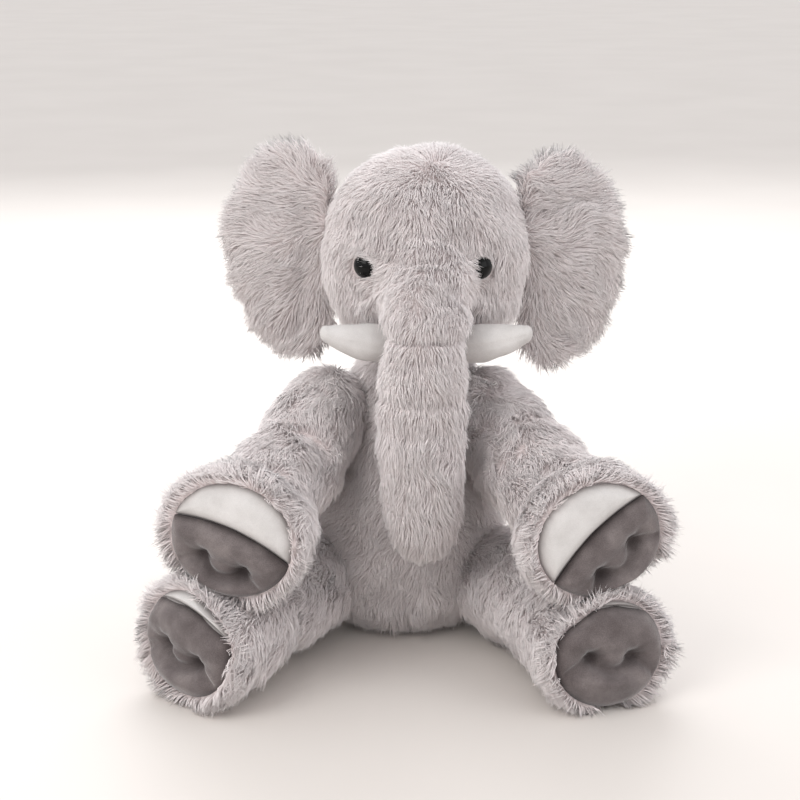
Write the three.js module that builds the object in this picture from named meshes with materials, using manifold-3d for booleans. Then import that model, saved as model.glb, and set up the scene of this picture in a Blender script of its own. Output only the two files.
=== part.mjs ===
// Seated plush elephant, in millimetres, +Z up.
// It faces -Y, so its own left side is +X. The origin is the middle of the flat seat.
// Every fur surface here is the middle of the pile: fur tips stand about 8 mm proud of it.

import * as THREE from "three";
import { mergeVertices } from "three/addons/utils/BufferGeometryUtils.js";
import Module from "manifold-3d";

const wasm = await Module();
wasm.setup();

// ---------------------------------------------------------------- driving dimensions

const coverThickness = 3; // pile fabric: backing and the dense foot of the pile
const gap = 0.5; // clear space between neighbouring pieces
const roundSides = 12; // facets around a fur body
const wideSides = 16; // facets around the torso and the head
const smallSides = 8; // facets around a small piece

const seatRadius = 48; // flat underside of the torso
const torsoRadius = 86;
const torsoDepthScale = 0.94; // front to back against side to side
const neckCentre = new THREE.Vector3(8, -2, 247); // the head nods and turns about it
const neckRadius = 33;
const neckFlat = 14; // the neck ball is cut flat this far below its centre
const torsoTop = neckCentre.z - 5;
const bellyTop = 120; // above this the torso leans towards the neck

const headCentre = new THREE.Vector3(18, -8, 332);
const headHalf = new THREE.Vector3(83, 80, 88);
const headRoundness = 2.25; // superellipse power of the head's upright section
const neckOpening = 37;

const trunkRadius = 32;
const trunkFold = 53; // degrees from a joint ball's pole to the sleeve that meets it
const trunkJoints = [new THREE.Vector3(16, -112, 263), new THREE.Vector3(14, -114, 212)];
const trunkTip = new THREE.Vector3(16, -118, 104);

const eyeRadius = 10;
const eyeHeight = 7;
const eyeSpacing = 100;
const eyeMiddle = -3; // midway between the eyes, sideways from the head's centre
const eyeLift = 1.5; // above the head's centre
const shankRadius = 2;

const tuskLength = 48;
const tuskRadius = 15;
const tuskCloth = 1.5;
const tuskRoot = 16; // length of a tusk inside the head and the trunk
const tuskSideways = 39; // a tusk's start from the head's middle
const tuskForward = -82; // where a tusk's start lies from front to back
const tuskHeight = 273;

const earReach = 84; // from the ear's seam out to its rim
const earGap = 10; // from the head's side to the ear's seam
const earBack = 10; // the ears' seams behind the head's centre
const earLift = { left: -9, right: 0 }; // an ear's middle above the head's centre
const earPanel = 5;
const earWadding = 6;
const earSweep = 20; // degrees that the ears lie back

const soleThickness = 3;
const soleDome = 5;
const footRim = 9; // fur rim around a sole
const seamSides = 64; // facets around the drum that cuts a sole's bowed seam

// Each arm foot rests on the leg foot under it, and both are pressed flat on a sloping plane.
const pressPoint = new THREE.Vector3(154, -190, 95);
const pressNormal = new THREE.Vector3(-0.42, -0.25, 0.87).normalize();

// The seam between a sole's white toe panel and its dark pad: toeAngle turns it about the sole's
// centre, toeShare lifts its ends by a share of the sole's radius, and seamBow is the rise of its
// middle above its ends.
const arms = [
  {
    name: "arm_left",
    root: new THREE.Vector3(69, -21, 197),
    foot: new THREE.Vector3(155, -188, 138),
    facing: new THREE.Vector3(0.27, -0.96, 0.05),
    toeAngle: 132,
    toeShare: 0.06,
    seamBow: 9,
  },
  {
    name: "arm_right",
    root: new THREE.Vector3(-68, -21, 197),
    foot: new THREE.Vector3(-138, -186, 137),
    facing: new THREE.Vector3(-0.3, -0.95, 0.05),
    toeAngle: 72,
    toeShare: 0.06,
    seamBow: 9,
  },
];
const legs = [
  {
    name: "leg_left",
    root: new THREE.Vector3(86, -46, 50),
    foot: new THREE.Vector3(164, -200, 47),
    facing: new THREE.Vector3(0.33, -0.93, 0.12),
    toeAngle: 84,
    toeShare: 0.8,
    seamBow: 4,
  },
  {
    name: "leg_right",
    root: new THREE.Vector3(-86, -46, 50),
    foot: new THREE.Vector3(-175, -191, 52),
    facing: new THREE.Vector3(-0.64, -0.76, 0.1),
    toeAngle: 78,
    toeShare: 0.55,
    seamBow: 7,
  },
];
// flatness is a limb's height over its width.
const armShape = {
  rootRadius: 39,
  ankleRadius: 42,
  ankleLength: 70,
  soleRadius: 53,
  flatness: 0.9,
};
const legShape = {
  rootRadius: 46,
  ankleRadius: 45,
  ankleLength: 70,
  soleRadius: 48,
  flatness: 0.92,
};

const tailRoot = new THREE.Vector3(0, 86, 66);
const tailDirection = new THREE.Vector3(0, 0.62, -0.78).normalize();
const tailRadius = 6;
const tailLength = 46;
const tuftLength = 26;
const tuftRadius = 9;

// ---------------------------------------------------------------- colours

const greyFur = { color: 0xb9b2b6, roughness: 0.95 };
const whiteNap = { color: 0xe9e6e6, roughness: 0.9 };
const darkNap = { color: 0x77767b, roughness: 0.85 };
const fibre = { color: 0xf4f4f2, roughness: 1 };
const blackPlastic = { color: 0x0b0b0d, roughness: 0.12 };
const washerPlastic = { color: 0xd8d8d4, roughness: 0.5 };
const thread = { color: 0x5d5c61, roughness: 0.8 };

const upwards = new THREE.Vector3(0, 0, 1);
const elephant = new THREE.Group();

function add(name, shape, look) {
  const geometry = shape instanceof THREE.BufferGeometry ? shape : toGeometry(shape);
  const mesh = new THREE.Mesh(geometry, new THREE.MeshStandardMaterial({ metalness: 0, ...look }));
  mesh.name = name;
  elephant.add(mesh);
}

// ---------------------------------------------------------------- solids

// A closed geometry as a solid: shared corners merged and collapsed faces left out.
function toSolid(geometry) {
  const bare = geometry.clone();
  bare.deleteAttribute("normal");
  bare.deleteAttribute("uv");
  const merged = mergeVertices(bare, 1e-3);
  const corners = merged.index.array;
  const kept = [];
  for (let i = 0; i < corners.length; i += 3) {
    const [a, b, c] = corners.slice(i, i + 3);
    if (a !== b && b !== c && c !== a) kept.push(a, b, c);
  }
  const vertProperties = Float32Array.from(merged.attributes.position.array);
  const mesh = new wasm.Mesh({ numProp: 3, vertProperties, triVerts: Uint32Array.from(kept) });
  return new wasm.Manifold(mesh);
}

function toGeometry(solid) {
  const { vertProperties, triVerts } = solid.getMesh();
  const geometry = new THREE.BufferGeometry();
  geometry.setAttribute("position", new THREE.BufferAttribute(vertProperties, 3));
  geometry.setIndex(new THREE.BufferAttribute(triVerts, 1));
  geometry.computeVertexNormals();
  return geometry;
}

// Turns [radius, height] pairs about the Z axis. The pairs run from the top of the axis to its bottom.
function turned(profile, sides = roundSides) {
  const points = profile.map(([radius, height]) => new THREE.Vector2(radius, -height));
  return new THREE.LatheGeometry(points, sides).rotateX(-Math.PI / 2);
}

function ball(centre, radius) {
  const geometry = new THREE.SphereGeometry(radius, roundSides, roundSides / 2).rotateX(Math.PI / 2);
  return toSolid(geometry.translate(centre.x, centre.y, centre.z));
}

// The room around a ball of this radius: even the middle of each flat facet clears it.
function socket(centre, radius) {
  return ball(centre, (radius + gap) / Math.cos(Math.PI / roundSides) ** 2);
}

// A cylinder whose axis starts at one point and runs along a direction.
function rod(start, direction, radius, length, sides = smallSides) {
  const geometry = new THREE.CylinderGeometry(radius, radius, length, sides).rotateX(Math.PI / 2);
  return toSolid(aimed(geometry.translate(0, 0, length / 2), start, direction));
}

// Moves a geometry made along +Z so that it starts at a point and runs along a direction.
function aimed(geometry, start, direction) {
  const turn = new THREE.Quaternion().setFromUnitVectors(upwards, direction);
  return geometry.applyQuaternion(turn).translate(start.x, start.y, start.z);
}

function reshaped(geometry, move) {
  const place = geometry.attributes.position;
  const point = new THREE.Vector3();
  for (let i = 0; i < place.count; i += 1) {
    move(point.fromBufferAttribute(place, i));
    place.setXYZ(i, point.x, point.y, point.z);
  }
  return geometry;
}

// An outline of [radius, height] pairs, smoothed and moved inwards by an inset, closed on the axis.
function insetProfile(outline, inset, steps) {
  const curve = new THREE.SplineCurve(outline.map(([radius, height]) => new THREE.Vector2(radius, height)));
  const profile = [];
  for (let i = 0; i <= steps; i += 1) {
    const point = curve.getPointAt(i / steps);
    const along = curve.getTangentAt(i / steps);
    profile.push([Math.max(point.x + along.y * inset, 0), point.y - along.x * inset]);
  }
  const [, top] = profile[0];
  const [, bottom] = profile[steps];
  return [[0, top], ...profile, [0, bottom]];
}

// ---------------------------------------------------------------- limbs and trunk follow a centre line

// Bends a geometry made along +Z onto a curve; beyond the curve's ends it runs on straight.
function bent(geometry, curve, sideways) {
  const length = curve.getLength();
  const side = new THREE.Vector3();
  const rise = new THREE.Vector3();
  return reshaped(geometry, (point) => {
    const share = THREE.MathUtils.clamp(point.z / length, 0, 1);
    const along = curve.getTangentAt(share);
    side.copy(sideways).addScaledVector(along, -sideways.dot(along)).normalize();
    rise.crossVectors(along, side).normalize();
    const { x, y } = point;
    const beyond = point.z - share * length;
    point.copy(curve.getPointAt(share)).addScaledVector(along, beyond);
    point.addScaledVector(side, x).addScaledVector(rise, y);
  });
}

function limbCurve({ root, foot, facing }, { ankleLength }) {
  const ankle = foot.clone().addScaledVector(facing.clone().normalize(), -ankleLength);
  return new THREE.QuadraticBezierCurve3(root, ankle, foot);
}

// The planes that a limb is pressed against: a normal and its distance from the origin.
function pressPlanes(limb, shape) {
  const side = new THREE.Vector3(Math.sign(limb.root.x), 1, 1);
  const normal = pressNormal.clone().multiply(side);
  const distance = normal.dot(pressPoint.clone().multiply(side));
  if (shape === armShape) return [{ normal, distance: distance + gap }];
  return [
    { normal: normal.negate(), distance: gap - distance },
    { normal: upwards, distance: 0 },
  ];
}

// Presses a geometry flat on its planes. Points slide across the sole's facing, so the sole stays level.
function pressed(geometry, limb, shape, inset) {
  const facing = limb.facing.clone().normalize();
  const planes = pressPlanes(limb, shape).map(({ normal, distance }) => {
    const slide = normal.clone().addScaledVector(facing, -normal.dot(facing));
    return { normal, distance, slide: slide.divideScalar(slide.dot(normal)) };
  });
  return reshaped(geometry, (point) => {
    for (const { normal, distance, slide } of planes) {
      const depth = distance + inset - normal.dot(point);
      if (depth > 0) point.addScaledVector(slide, depth);
    }
  });
}

// The limb's solid at a depth under its surface: a round root, a straight shin and a wide foot.
function limbSolid(limb, shape, inset, endAt) {
  const curve = limbCurve(limb, shape);
  const length = curve.getLength();
  const { rootRadius, ankleRadius, soleRadius, flatness } = shape;
  const footRadius = soleRadius + footRim;
  const outline = [
    [soleRadius + coverThickness, length],
    [footRadius, length - 12],
    [footRadius - 1, length - 32],
    [ankleRadius + 3, length - 66],
    [ankleRadius, length * 0.42],
    [rootRadius, 0],
  ];
  const shin = insetProfile(outline, inset, 7).slice(1, -1);
  const rootSteps = 3;
  const rootArc = [];
  for (let i = 1; i <= rootSteps; i += 1) {
    const turn = (i / rootSteps) * (Math.PI / 2);
    rootArc.push([(rootRadius - inset) * Math.cos(turn), -(rootRadius - inset) * Math.sin(turn)]);
  }
  const [soleEdge] = shin[0];
  const profile = [[0, length + endAt], [soleEdge, length + endAt], ...shin.slice(1), ...rootArc];
  const geometry = turned(profile).scale(1, flatness, 1);
  const sideways = new THREE.Vector3(-limb.facing.y, limb.facing.x, 0).normalize();
  return toSolid(pressed(bent(geometry, curve, sideways), limb, shape, inset));
}

// The drum whose rim cuts a sole along its bowed seam. The dark pad is inside it.
function seamDrum(limb, shape, length, extra) {
  const halfHeight = shape.soleRadius * shape.flatness;
  const seamLine = limb.toeShare * halfHeight;
  const halfChord = Math.sqrt(halfHeight ** 2 - seamLine ** 2);
  const radius = (halfChord ** 2 + limb.seamBow ** 2) / (2 * limb.seamBow);
  const drum = new THREE.CylinderGeometry(radius + extra, radius + extra, 60, seamSides);
  drum.rotateX(Math.PI / 2).translate(0, seamLine + limb.seamBow - radius, length);
  return toSolid(drum.rotateZ(THREE.MathUtils.degToRad(limb.toeAngle - 90)));
}

function addLimb(limb, shape) {
  const curve = limbCurve(limb, shape);
  const length = curve.getLength();
  const { name } = limb;
  const { soleRadius } = shape;
  const outer = limbSolid(limb, shape, 0, 0);
  const hollow = limbSolid(limb, shape, coverThickness, 5);
  const seam = rod(limb.root, curve.getTangentAt(0).negate(), shape.rootRadius / 2, shape.rootRadius + 5);
  add(`${name}_cover`, outer.subtract(hollow).subtract(seam), greyFur);

  const soleBack = -soleThickness - 2;
  add(`${name}_filling`, limbSolid(limb, shape, coverThickness + 3 * gap, soleBack - 2), fibre);

  const sideways = new THREE.Vector3(-limb.facing.y, limb.facing.x, 0).normalize();
  const sole = turned([
    [0, length + soleDome],
    [soleRadius * 0.5, length + soleDome * 0.7],
    [soleRadius * 0.85, length],
    [soleRadius - 1, length + soleBack + 2],
    [soleRadius - 1, length + soleBack],
    [0, length + soleBack],
  ]).scale(1, shape.flatness, 1);
  const solid = toSolid(sole);
  const toePanel = solid.subtract(seamDrum(limb, shape, length, gap));
  const solePad = solid.intersect(seamDrum(limb, shape, length, -gap));
  for (const [part, half, look] of [["toe_panel", toePanel, whiteNap], ["sole_pad", solePad, darkNap]]) {
    const panel = bent(toGeometry(half), curve, sideways);
    add(`${name}_${part}`, pressed(panel, limb, shape, coverThickness + 2 * gap), look);
  }
  const stitch = new THREE.CylinderGeometry(0.6, 0.6, 26, 8).rotateZ(Math.PI / 2);
  stitch.translate(0, -8, length + soleBack - 1);
  add(`${name}_sculpting_thread`, bent(stitch, curve, sideways), thread);
}

// ---------------------------------------------------------------- torso

function torsoSolid(inset) {
  const outline = [
    [neckRadius + 5.5, torsoTop],
    [46, torsoTop - 12],
    [50, 208],
    [57, 166],
    [76, 122],
    [torsoRadius, 72],
    [torsoRadius - 10, 24],
    [seatRadius, 0],
  ];
  const profile = insetProfile(outline, inset, 11);
  return toSolid(
    reshaped(turned(profile, wideSides).scale(1, torsoDepthScale, 1), (point) => {
      const lean = THREE.MathUtils.smoothstep(point.z, bellyTop, torsoTop);
      point.x += neckCentre.x * lean;
      point.y += neckCentre.y * lean;
      point.z = Math.max(point.z, inset);
    }),
  );
}

function addTorso() {
  const neckBase = new THREE.Vector3(neckCentre.x, neckCentre.y, torsoTop - 25);
  const neckHole = rod(neckBase, upwards, neckRadius + 2, 40, roundSides);
  let cover = torsoSolid(0).subtract(torsoSolid(coverThickness)).subtract(neckHole);
  let filling = torsoSolid(coverThickness + gap);
  const above = new THREE.BoxGeometry(300, 300, 100).translate(0, 0, neckCentre.z - neckFlat - gap + 50);
  filling = filling.subtract(toSolid(above));
  for (const [limbs, { rootRadius }] of [[arms, armShape], [legs, legShape]]) {
    for (const { root } of limbs) {
      const room = socket(root, rootRadius);
      cover = cover.subtract(room);
      filling = filling.subtract(room);
    }
  }
  add("torso_cover", cover, greyFur);
  add("torso_filling", filling, fibre);
}

function addTail() {
  const stem = new THREE.CapsuleGeometry(tailRadius, tailLength - tailRadius, 4, smallSides);
  stem.rotateX(Math.PI / 2).translate(0, 0, tailLength / 2);
  add("tail_stem", aimed(stem, tailRoot, tailDirection), greyFur);
  const tuftStart = tailRoot.clone().addScaledVector(tailDirection, tailLength + tailRadius / 2 + gap);
  const tuftOutline = [
    [0, tuftLength],
    [tuftRadius * 0.6, tuftLength * 0.85],
    [tuftRadius, tuftLength * 0.5],
    [tailRadius, 0],
    [0, 0],
  ];
  const tuft = turned(tuftOutline, smallSides);
  add("tail_tuft", aimed(tuft, tuftStart, tailDirection), greyFur);
}

// ---------------------------------------------------------------- head

// The head is a rounded egg: a superellipse on its upright section.
function headSolid(inset) {
  const half = headHalf.clone().subScalar(inset);
  const profile = [];
  const steps = 11;
  for (let i = 0; i <= steps; i += 1) {
    const turn = (i / steps) * Math.PI;
    const out = Math.sin(turn) ** (2 / headRoundness);
    const up = Math.sign(Math.cos(turn)) * Math.abs(Math.cos(turn)) ** (2 / headRoundness);
    profile.push([half.x * out, half.z * up]);
  }
  profile[0][0] = 0;
  profile[steps][0] = 0;
  const geometry = turned(profile, wideSides).scale(1, half.y / half.x, 1);
  return toSolid(geometry.translate(headCentre.x, headCentre.y, headCentre.z));
}

// The point of the head's surface, and its outward normal, in front of an offset from its centre.
function headFront(sideways, up) {
  const across = Math.abs(sideways / headHalf.x);
  const raised = Math.abs(up / headHalf.z);
  const ring = (1 - raised ** headRoundness) ** (1 / headRoundness);
  const deep = Math.sqrt(ring ** 2 - across ** 2);
  const point = new THREE.Vector3(sideways, -deep * headHalf.y, up);
  const normal = new THREE.Vector3(
    point.x / headHalf.x ** 2,
    point.y / headHalf.y ** 2,
    (Math.sign(up) * raised ** (headRoundness - 1)) / headHalf.z,
  );
  return { point: point.add(headCentre), normal: normal.normalize() };
}

function addHead(trunkRoot) {
  const neckBase = new THREE.Vector3(neckCentre.x, neckCentre.y, neckCentre.z - 30);
  const neckHole = rod(neckBase, upwards, neckOpening, 50, roundSides);
  let cover = headSolid(0).subtract(headSolid(coverThickness)).subtract(neckHole).subtract(trunkRoot);
  let filling = headSolid(coverThickness + gap).subtract(socket(neckCentre, neckRadius));
  for (const [side, sign] of [["left", 1], ["right", -1]]) {
    const { point, normal } = headFront(eyeMiddle + (sign * eyeSpacing) / 2, eyeLift);
    const inwards = normal.clone().negate();
    const front = point.clone().addScaledVector(normal, gap);
    const washerDepth = coverThickness + 3;
    cover = cover.subtract(rod(front, inwards, shankRadius + gap, 20));
    filling = filling.subtract(rod(front, inwards, eyeRadius, washerDepth + 11));

    const dome = turned(
      [
        [0, eyeHeight],
        [eyeRadius * 0.45, eyeHeight * 0.9],
        [eyeRadius * 0.8, eyeHeight * 0.6],
        [eyeRadius, eyeHeight * 0.1],
        [eyeRadius * 0.95, 0],
        [shankRadius, 0],
        [shankRadius, -10],
        [0, -10],
      ],
      12,
    );
    add(`eye_${side}`, toSolid(aimed(dome, front, normal)), blackPlastic);
    const ring = turned(
      [
        [eyeRadius - 2, 0],
        [eyeRadius - 2, -1.6],
        [shankRadius + gap, -1.6],
        [shankRadius + gap, 0],
        [eyeRadius - 2, 0],
      ],
      12,
    );
    const washerPlace = point.clone().addScaledVector(normal, -washerDepth);
    add(`eye_washer_${side}`, toSolid(aimed(ring, washerPlace, normal)), washerPlastic);
  }
  add("head_cover", cover, greyFur);
  add("head_filling", filling, fibre);

  const neck = ball(neckCentre, neckRadius);
  const below = new THREE.BoxGeometry(200, 200, 100).translate(0, 0, neckCentre.z - neckFlat - 50);
  add("neck_filling", neck.subtract(toSolid(below)), fibre);
}

// ---------------------------------------------------------------- trunk

// The upper trunk grows out of the face and ends in a sleeve around the first joint ball.
function trunkUpperSolid(inset, endAt) {
  const curve = new THREE.CatmullRomCurve3([
    new THREE.Vector3(headCentre.x, headCentre.y - 42, headCentre.z + 8),
    new THREE.Vector3(headCentre.x, headCentre.y - 76, headCentre.z - 16),
    new THREE.Vector3(headCentre.x - 1, -106, 292),
    trunkJoints[0],
  ]);
  const length = curve.getLength();
  const fold = THREE.MathUtils.degToRad(trunkFold);
  const rim = length - (trunkRadius + gap) * Math.cos(fold);
  const outline = [
    [trunkRadius * Math.sin(fold) + coverThickness + gap, rim],
    [trunkRadius + 1, rim - 9],
    [trunkRadius + 3, rim - 30],
    [trunkRadius + 6, rim - 70],
    [trunkRadius - 2, 0],
  ];
  const profile = insetProfile(outline, inset, 6).slice(1, -1);
  const [rimRadius] = profile[0];
  const geometry = turned([[0, rim + endAt], [rimRadius, rim + endAt], ...profile.slice(1), [0, 0]]);
  return toSolid(bent(geometry, curve, new THREE.Vector3(1, 0, 0)));
}

// A trunk length below a joint: a ball at the joint, then a tube down to a sleeve or to the round tip.
function trunkSegmentSolid(top, bottom, isTip, inset, endAt) {
  const length = top.distanceTo(bottom);
  const fold = THREE.MathUtils.degToRad(trunkFold);
  const rim = length - (trunkRadius + gap) * Math.cos(fold);
  const sleeve = [
    [trunkRadius * Math.sin(fold) + coverThickness + gap, rim],
    [trunkRadius, rim - 9],
  ];
  const tip = [
    [5, length - 0.5],
    [19, length - 6],
    [26, length - 20],
    [trunkRadius - 3, length - 46],
    [trunkRadius, length * 0.3],
  ];
  const outline = [...(isTip ? tip : sleeve), [trunkRadius, 0]];
  const profile = insetProfile(outline, inset, isTip ? 7 : 3).slice(1, -1);
  const arcSteps = 3;
  for (let i = 1; i <= arcSteps; i += 1) {
    const turn = (i / arcSteps) * (Math.PI / 2);
    profile.push([(trunkRadius - inset) * Math.cos(turn), -(trunkRadius - inset) * Math.sin(turn)]);
  }
  const [endRadius, endHeight] = profile[0];
  const end = endHeight + endAt;
  const geometry = turned([[0, end], [endRadius, end], ...profile.slice(1)]);
  return toSolid(aimed(geometry, top, bottom.clone().sub(top).normalize()));
}

function addTrunk() {
  const head = headSolid(-gap);
  const upper = trunkUpperSolid(0, 0);
  const upperHollow = trunkUpperSolid(coverThickness, 5);
  add("trunk_upper_cover", upper.subtract(upperHollow).subtract(head), greyFur);
  const upperFilling = trunkUpperSolid(coverThickness + gap, 5).subtract(head);
  add("trunk_upper_filling", upperFilling.subtract(socket(trunkJoints[0], trunkRadius)), fibre);

  const lengths = [
    ["trunk_middle", trunkJoints[0], trunkJoints[1], false],
    ["trunk_lower", trunkJoints[1], trunkTip, true],
  ];
  for (const [name, top, bottom, isTip] of lengths) {
    const back = top.clone().sub(bottom).normalize();
    const seam = rod(top, back, trunkRadius / 2, trunkRadius + 5);
    const outer = trunkSegmentSolid(top, bottom, isTip, 0, 0);
    const hollow = trunkSegmentSolid(top, bottom, isTip, coverThickness, isTip ? 0 : 5);
    add(`${name}_cover`, outer.subtract(hollow).subtract(seam), greyFur);
    let filling = trunkSegmentSolid(top, bottom, isTip, coverThickness + gap, 0);
    if (!isTip) filling = filling.subtract(socket(bottom, trunkRadius));
    add(`${name}_filling`, filling, fibre);
  }
}

// ---------------------------------------------------------------- tusks

function tuskSolid(inset, start, direction) {
  const radius = tuskRadius - inset;
  const tip = tuskLength - inset;
  const geometry = turned(
    [
      [0, tip],
      [radius * 0.42, tip - 2.5],
      [radius * 0.62, tip - 10],
      [radius * 0.85, tip - 22],
      [radius, 6],
      [radius, -tuskRoot],
      [0, -tuskRoot],
    ],
    10,
  );
  return toSolid(aimed(geometry, start, direction));
}

function addTusks() {
  const trunk = trunkUpperSolid(-gap, 5).add(socket(trunkJoints[0], trunkRadius));
  const head = headSolid(-gap);
  for (const [side, sign] of [["left", 1], ["right", -1]]) {
    const start = new THREE.Vector3(headCentre.x + sign * tuskSideways, tuskForward, tuskHeight);
    const direction = new THREE.Vector3(sign * 0.96, -0.2, 0.14).normalize();
    const outer = tuskSolid(0, start, direction).subtract(trunk).subtract(head);
    const hollow = tuskSolid(tuskCloth, start, direction);
    const filling = tuskSolid(tuskCloth + gap, start, direction).subtract(trunk).subtract(head);
    add(`tusk_cover_${side}`, outer.subtract(hollow), whiteNap);
    add(`tusk_filling_${side}`, filling, fibre);
  }
}

// ---------------------------------------------------------------- ears

// The ear's outline as [u, v] pairs: u runs out from its seam and v runs up.
function earOutline(inset) {
  const outline = [
    [0, -40],
    [-8, -72],
    [14, -92],
    [50, -78],
    [earReach - 10, -36],
    [earReach, 16],
    [earReach - 22, 66],
    [26, 90],
    [-8, 78],
    [0, 44],
  ];
  const middle = new THREE.Vector2(earReach / 2, 0);
  const points = outline.map(([u, v]) => {
    const point = new THREE.Vector2(u, v);
    return point.addScaledVector(point.clone().sub(middle).normalize(), -inset);
  });
  const curve = new THREE.SplineCurve([...points, points[0]]);
  return new THREE.Shape(curve.getPoints(26).slice(0, -1));
}

function addEars() {
  const layers = [
    ["front_panel", -earWadding / 2 - gap - earPanel, earPanel, 0],
    ["wadding", -earWadding / 2, earWadding, 6],
    ["back_panel", earWadding / 2 + gap, earPanel, 0],
  ];
  for (const [side, sign] of [["left", 1], ["right", -1]]) {
    for (const [part, start, depth, inset] of layers) {
      const slab = new THREE.ExtrudeGeometry(earOutline(inset), { depth, bevelEnabled: false, steps: 1 });
      slab.translate(0, 0, -start - depth).rotateX(Math.PI / 2);
      const solid = sign > 0 ? toSolid(slab) : toSolid(slab).mirror([1, 0, 0]);
      const seam = new THREE.Vector3(sign * (headHalf.x + earGap), earBack, earLift[side]).add(headCentre);
      const placed = solid.rotate([0, 0, sign * earSweep]).translate(seam.toArray());
      add(`ear_${part}_${side}`, placed, part === "wadding" ? fibre : greyFur);
    }
  }
}

addTorso();
for (const leg of legs) addLimb(leg, legShape);
for (const arm of arms) addLimb(arm, armShape);
addTail();
const trunkRoot = trunkUpperSolid(coverThickness, 0);
addHead(trunkRoot);
addTrunk();
addTusks();
addEars();

export default elephant;
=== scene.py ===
"""Seated plush elephant: soft skins, long pile, two-tone soles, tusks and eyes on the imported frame."""

import math

import bpy
import numpy as np
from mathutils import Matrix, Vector
from mathutils.bvhtree import BVHTree
from mathutils.kdtree import KDTree


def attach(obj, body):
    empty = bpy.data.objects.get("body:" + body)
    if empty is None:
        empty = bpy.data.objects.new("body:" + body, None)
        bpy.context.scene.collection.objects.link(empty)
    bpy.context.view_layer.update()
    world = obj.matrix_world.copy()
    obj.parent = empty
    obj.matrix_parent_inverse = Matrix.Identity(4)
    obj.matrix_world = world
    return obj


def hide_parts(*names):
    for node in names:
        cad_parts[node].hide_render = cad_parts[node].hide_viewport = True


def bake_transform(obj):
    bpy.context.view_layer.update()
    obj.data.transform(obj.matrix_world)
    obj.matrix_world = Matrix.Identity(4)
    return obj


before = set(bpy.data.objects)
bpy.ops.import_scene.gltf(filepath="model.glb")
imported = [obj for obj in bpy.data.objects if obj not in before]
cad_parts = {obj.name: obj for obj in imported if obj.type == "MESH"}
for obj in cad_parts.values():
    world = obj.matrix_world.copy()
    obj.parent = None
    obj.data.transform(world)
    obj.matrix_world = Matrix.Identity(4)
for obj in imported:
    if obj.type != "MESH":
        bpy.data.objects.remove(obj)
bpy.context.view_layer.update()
scene = bpy.context.scene
MM = 0.001

# ---------------------------------------------------------------- sizes in millimetres, as on the frame

VOXEL = 5.0  # of the remeshed skins
HEAD_VOXEL = 4.5  # of the head's remesh, which also joins the trunk to it
STUFFING_START = 2.0  # the skins start this much smaller before they are stuffed
STUFFING_CAP = 3.0  # and no point ends further than this from where it was drawn
STUFFING_FRAMES = 20
STUFFING_PRESSURE = 4.0
FABRIC_SLACK = 0.04  # share by which the fabric is larger than it is drawn
HOLD_STEPS = 10  # in how many steps a seam's hold on the fabric fades
SKIN_INSET = 3.5  # the fabric's backing lies this far under the middle of the pile
FLOOR_GAP = 1.0  # between the undersides and the floor
GROUND_INSET = 1.5
NECK = np.array([8.0, -2.0, 247.0])
TORSO_TOP = 242.0
BELLY_TOP = 120.0
TORSO_DEPTH = 0.94  # over its width
BELLY_SEAM = 7.0  # how far the seam draws the belly in
HEAD = np.array([18.0, -8.0, 332.0])
HEAD_HALF = np.array([83.0, 80.0, 88.0])
HEAD_POWER = 2.25
TRUNK_R = 32.0
TRUNK_JOINTS = np.array([[16.0, -112.0, 263.0], [14.0, -114.0, 212.0]])
TRUNK_TIP = np.array([16.0, -118.0, 104.0])
TRUNK_SIDES = 48
BEND_HALF = 13.0  # half the length of trunk over which a joint bends
EYE_R, EYE_H = 10.0, 7.0
EYE_SUNK, EYE_DENT = 3.6, 2.5
EYE_SPACING, EYE_MIDDLE, EYE_LIFT = 100.0, -3.0, 1.5
EYE_BARE = 8.0  # radius of the place without pile at each eye
TUSK_L, TUSK_R, TUSK_TIP_R, TUSK_ROOT = 48.0, 15.0, 7.4, 16.0
TUSK_SIDEWAYS, TUSK_Y, TUSK_Z = 39.0, -82.0, 273.0
TUSK_CURVE = 6.0
EAR_REACH, EAR_GAP, EAR_BACK, EAR_SWEEP = 84.0, 10.0, 10.0, 20.0
EAR_LIFT = {"left": -9.0, "right": 0.0}
EAR_PUFF = 8.2  # half an ear's greatest thickness
EAR_SCALE = 1.025  # of the drawn outline
SOLE_DOME = 5.0
FOOT_RIM = 9.0
SOLE_SUNK = 9.0  # the skin's own sole lies this far behind the panels
SEAM_GAP = 0.4  # half the gap between a toe panel and a sole pad
PRESS_POINT = np.array([154.0, -190.0, 95.0])
PRESS_NORMAL = np.array([-0.42, -0.25, 0.87])
PRESS_ARM, PRESS_LEG = -3.0, 5.0  # from the flat to the arm's skin and to the leg's
PRESS_LEG_PANELS = 7.0
TAIL_ROOT = np.array([0.0, 86.0, 66.0])
TAIL_WAY = np.array([0.0, 0.62, -0.78])
TAIL_R, TAIL_L, TUFT_L = 6.0, 46.0, 26.0

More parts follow.
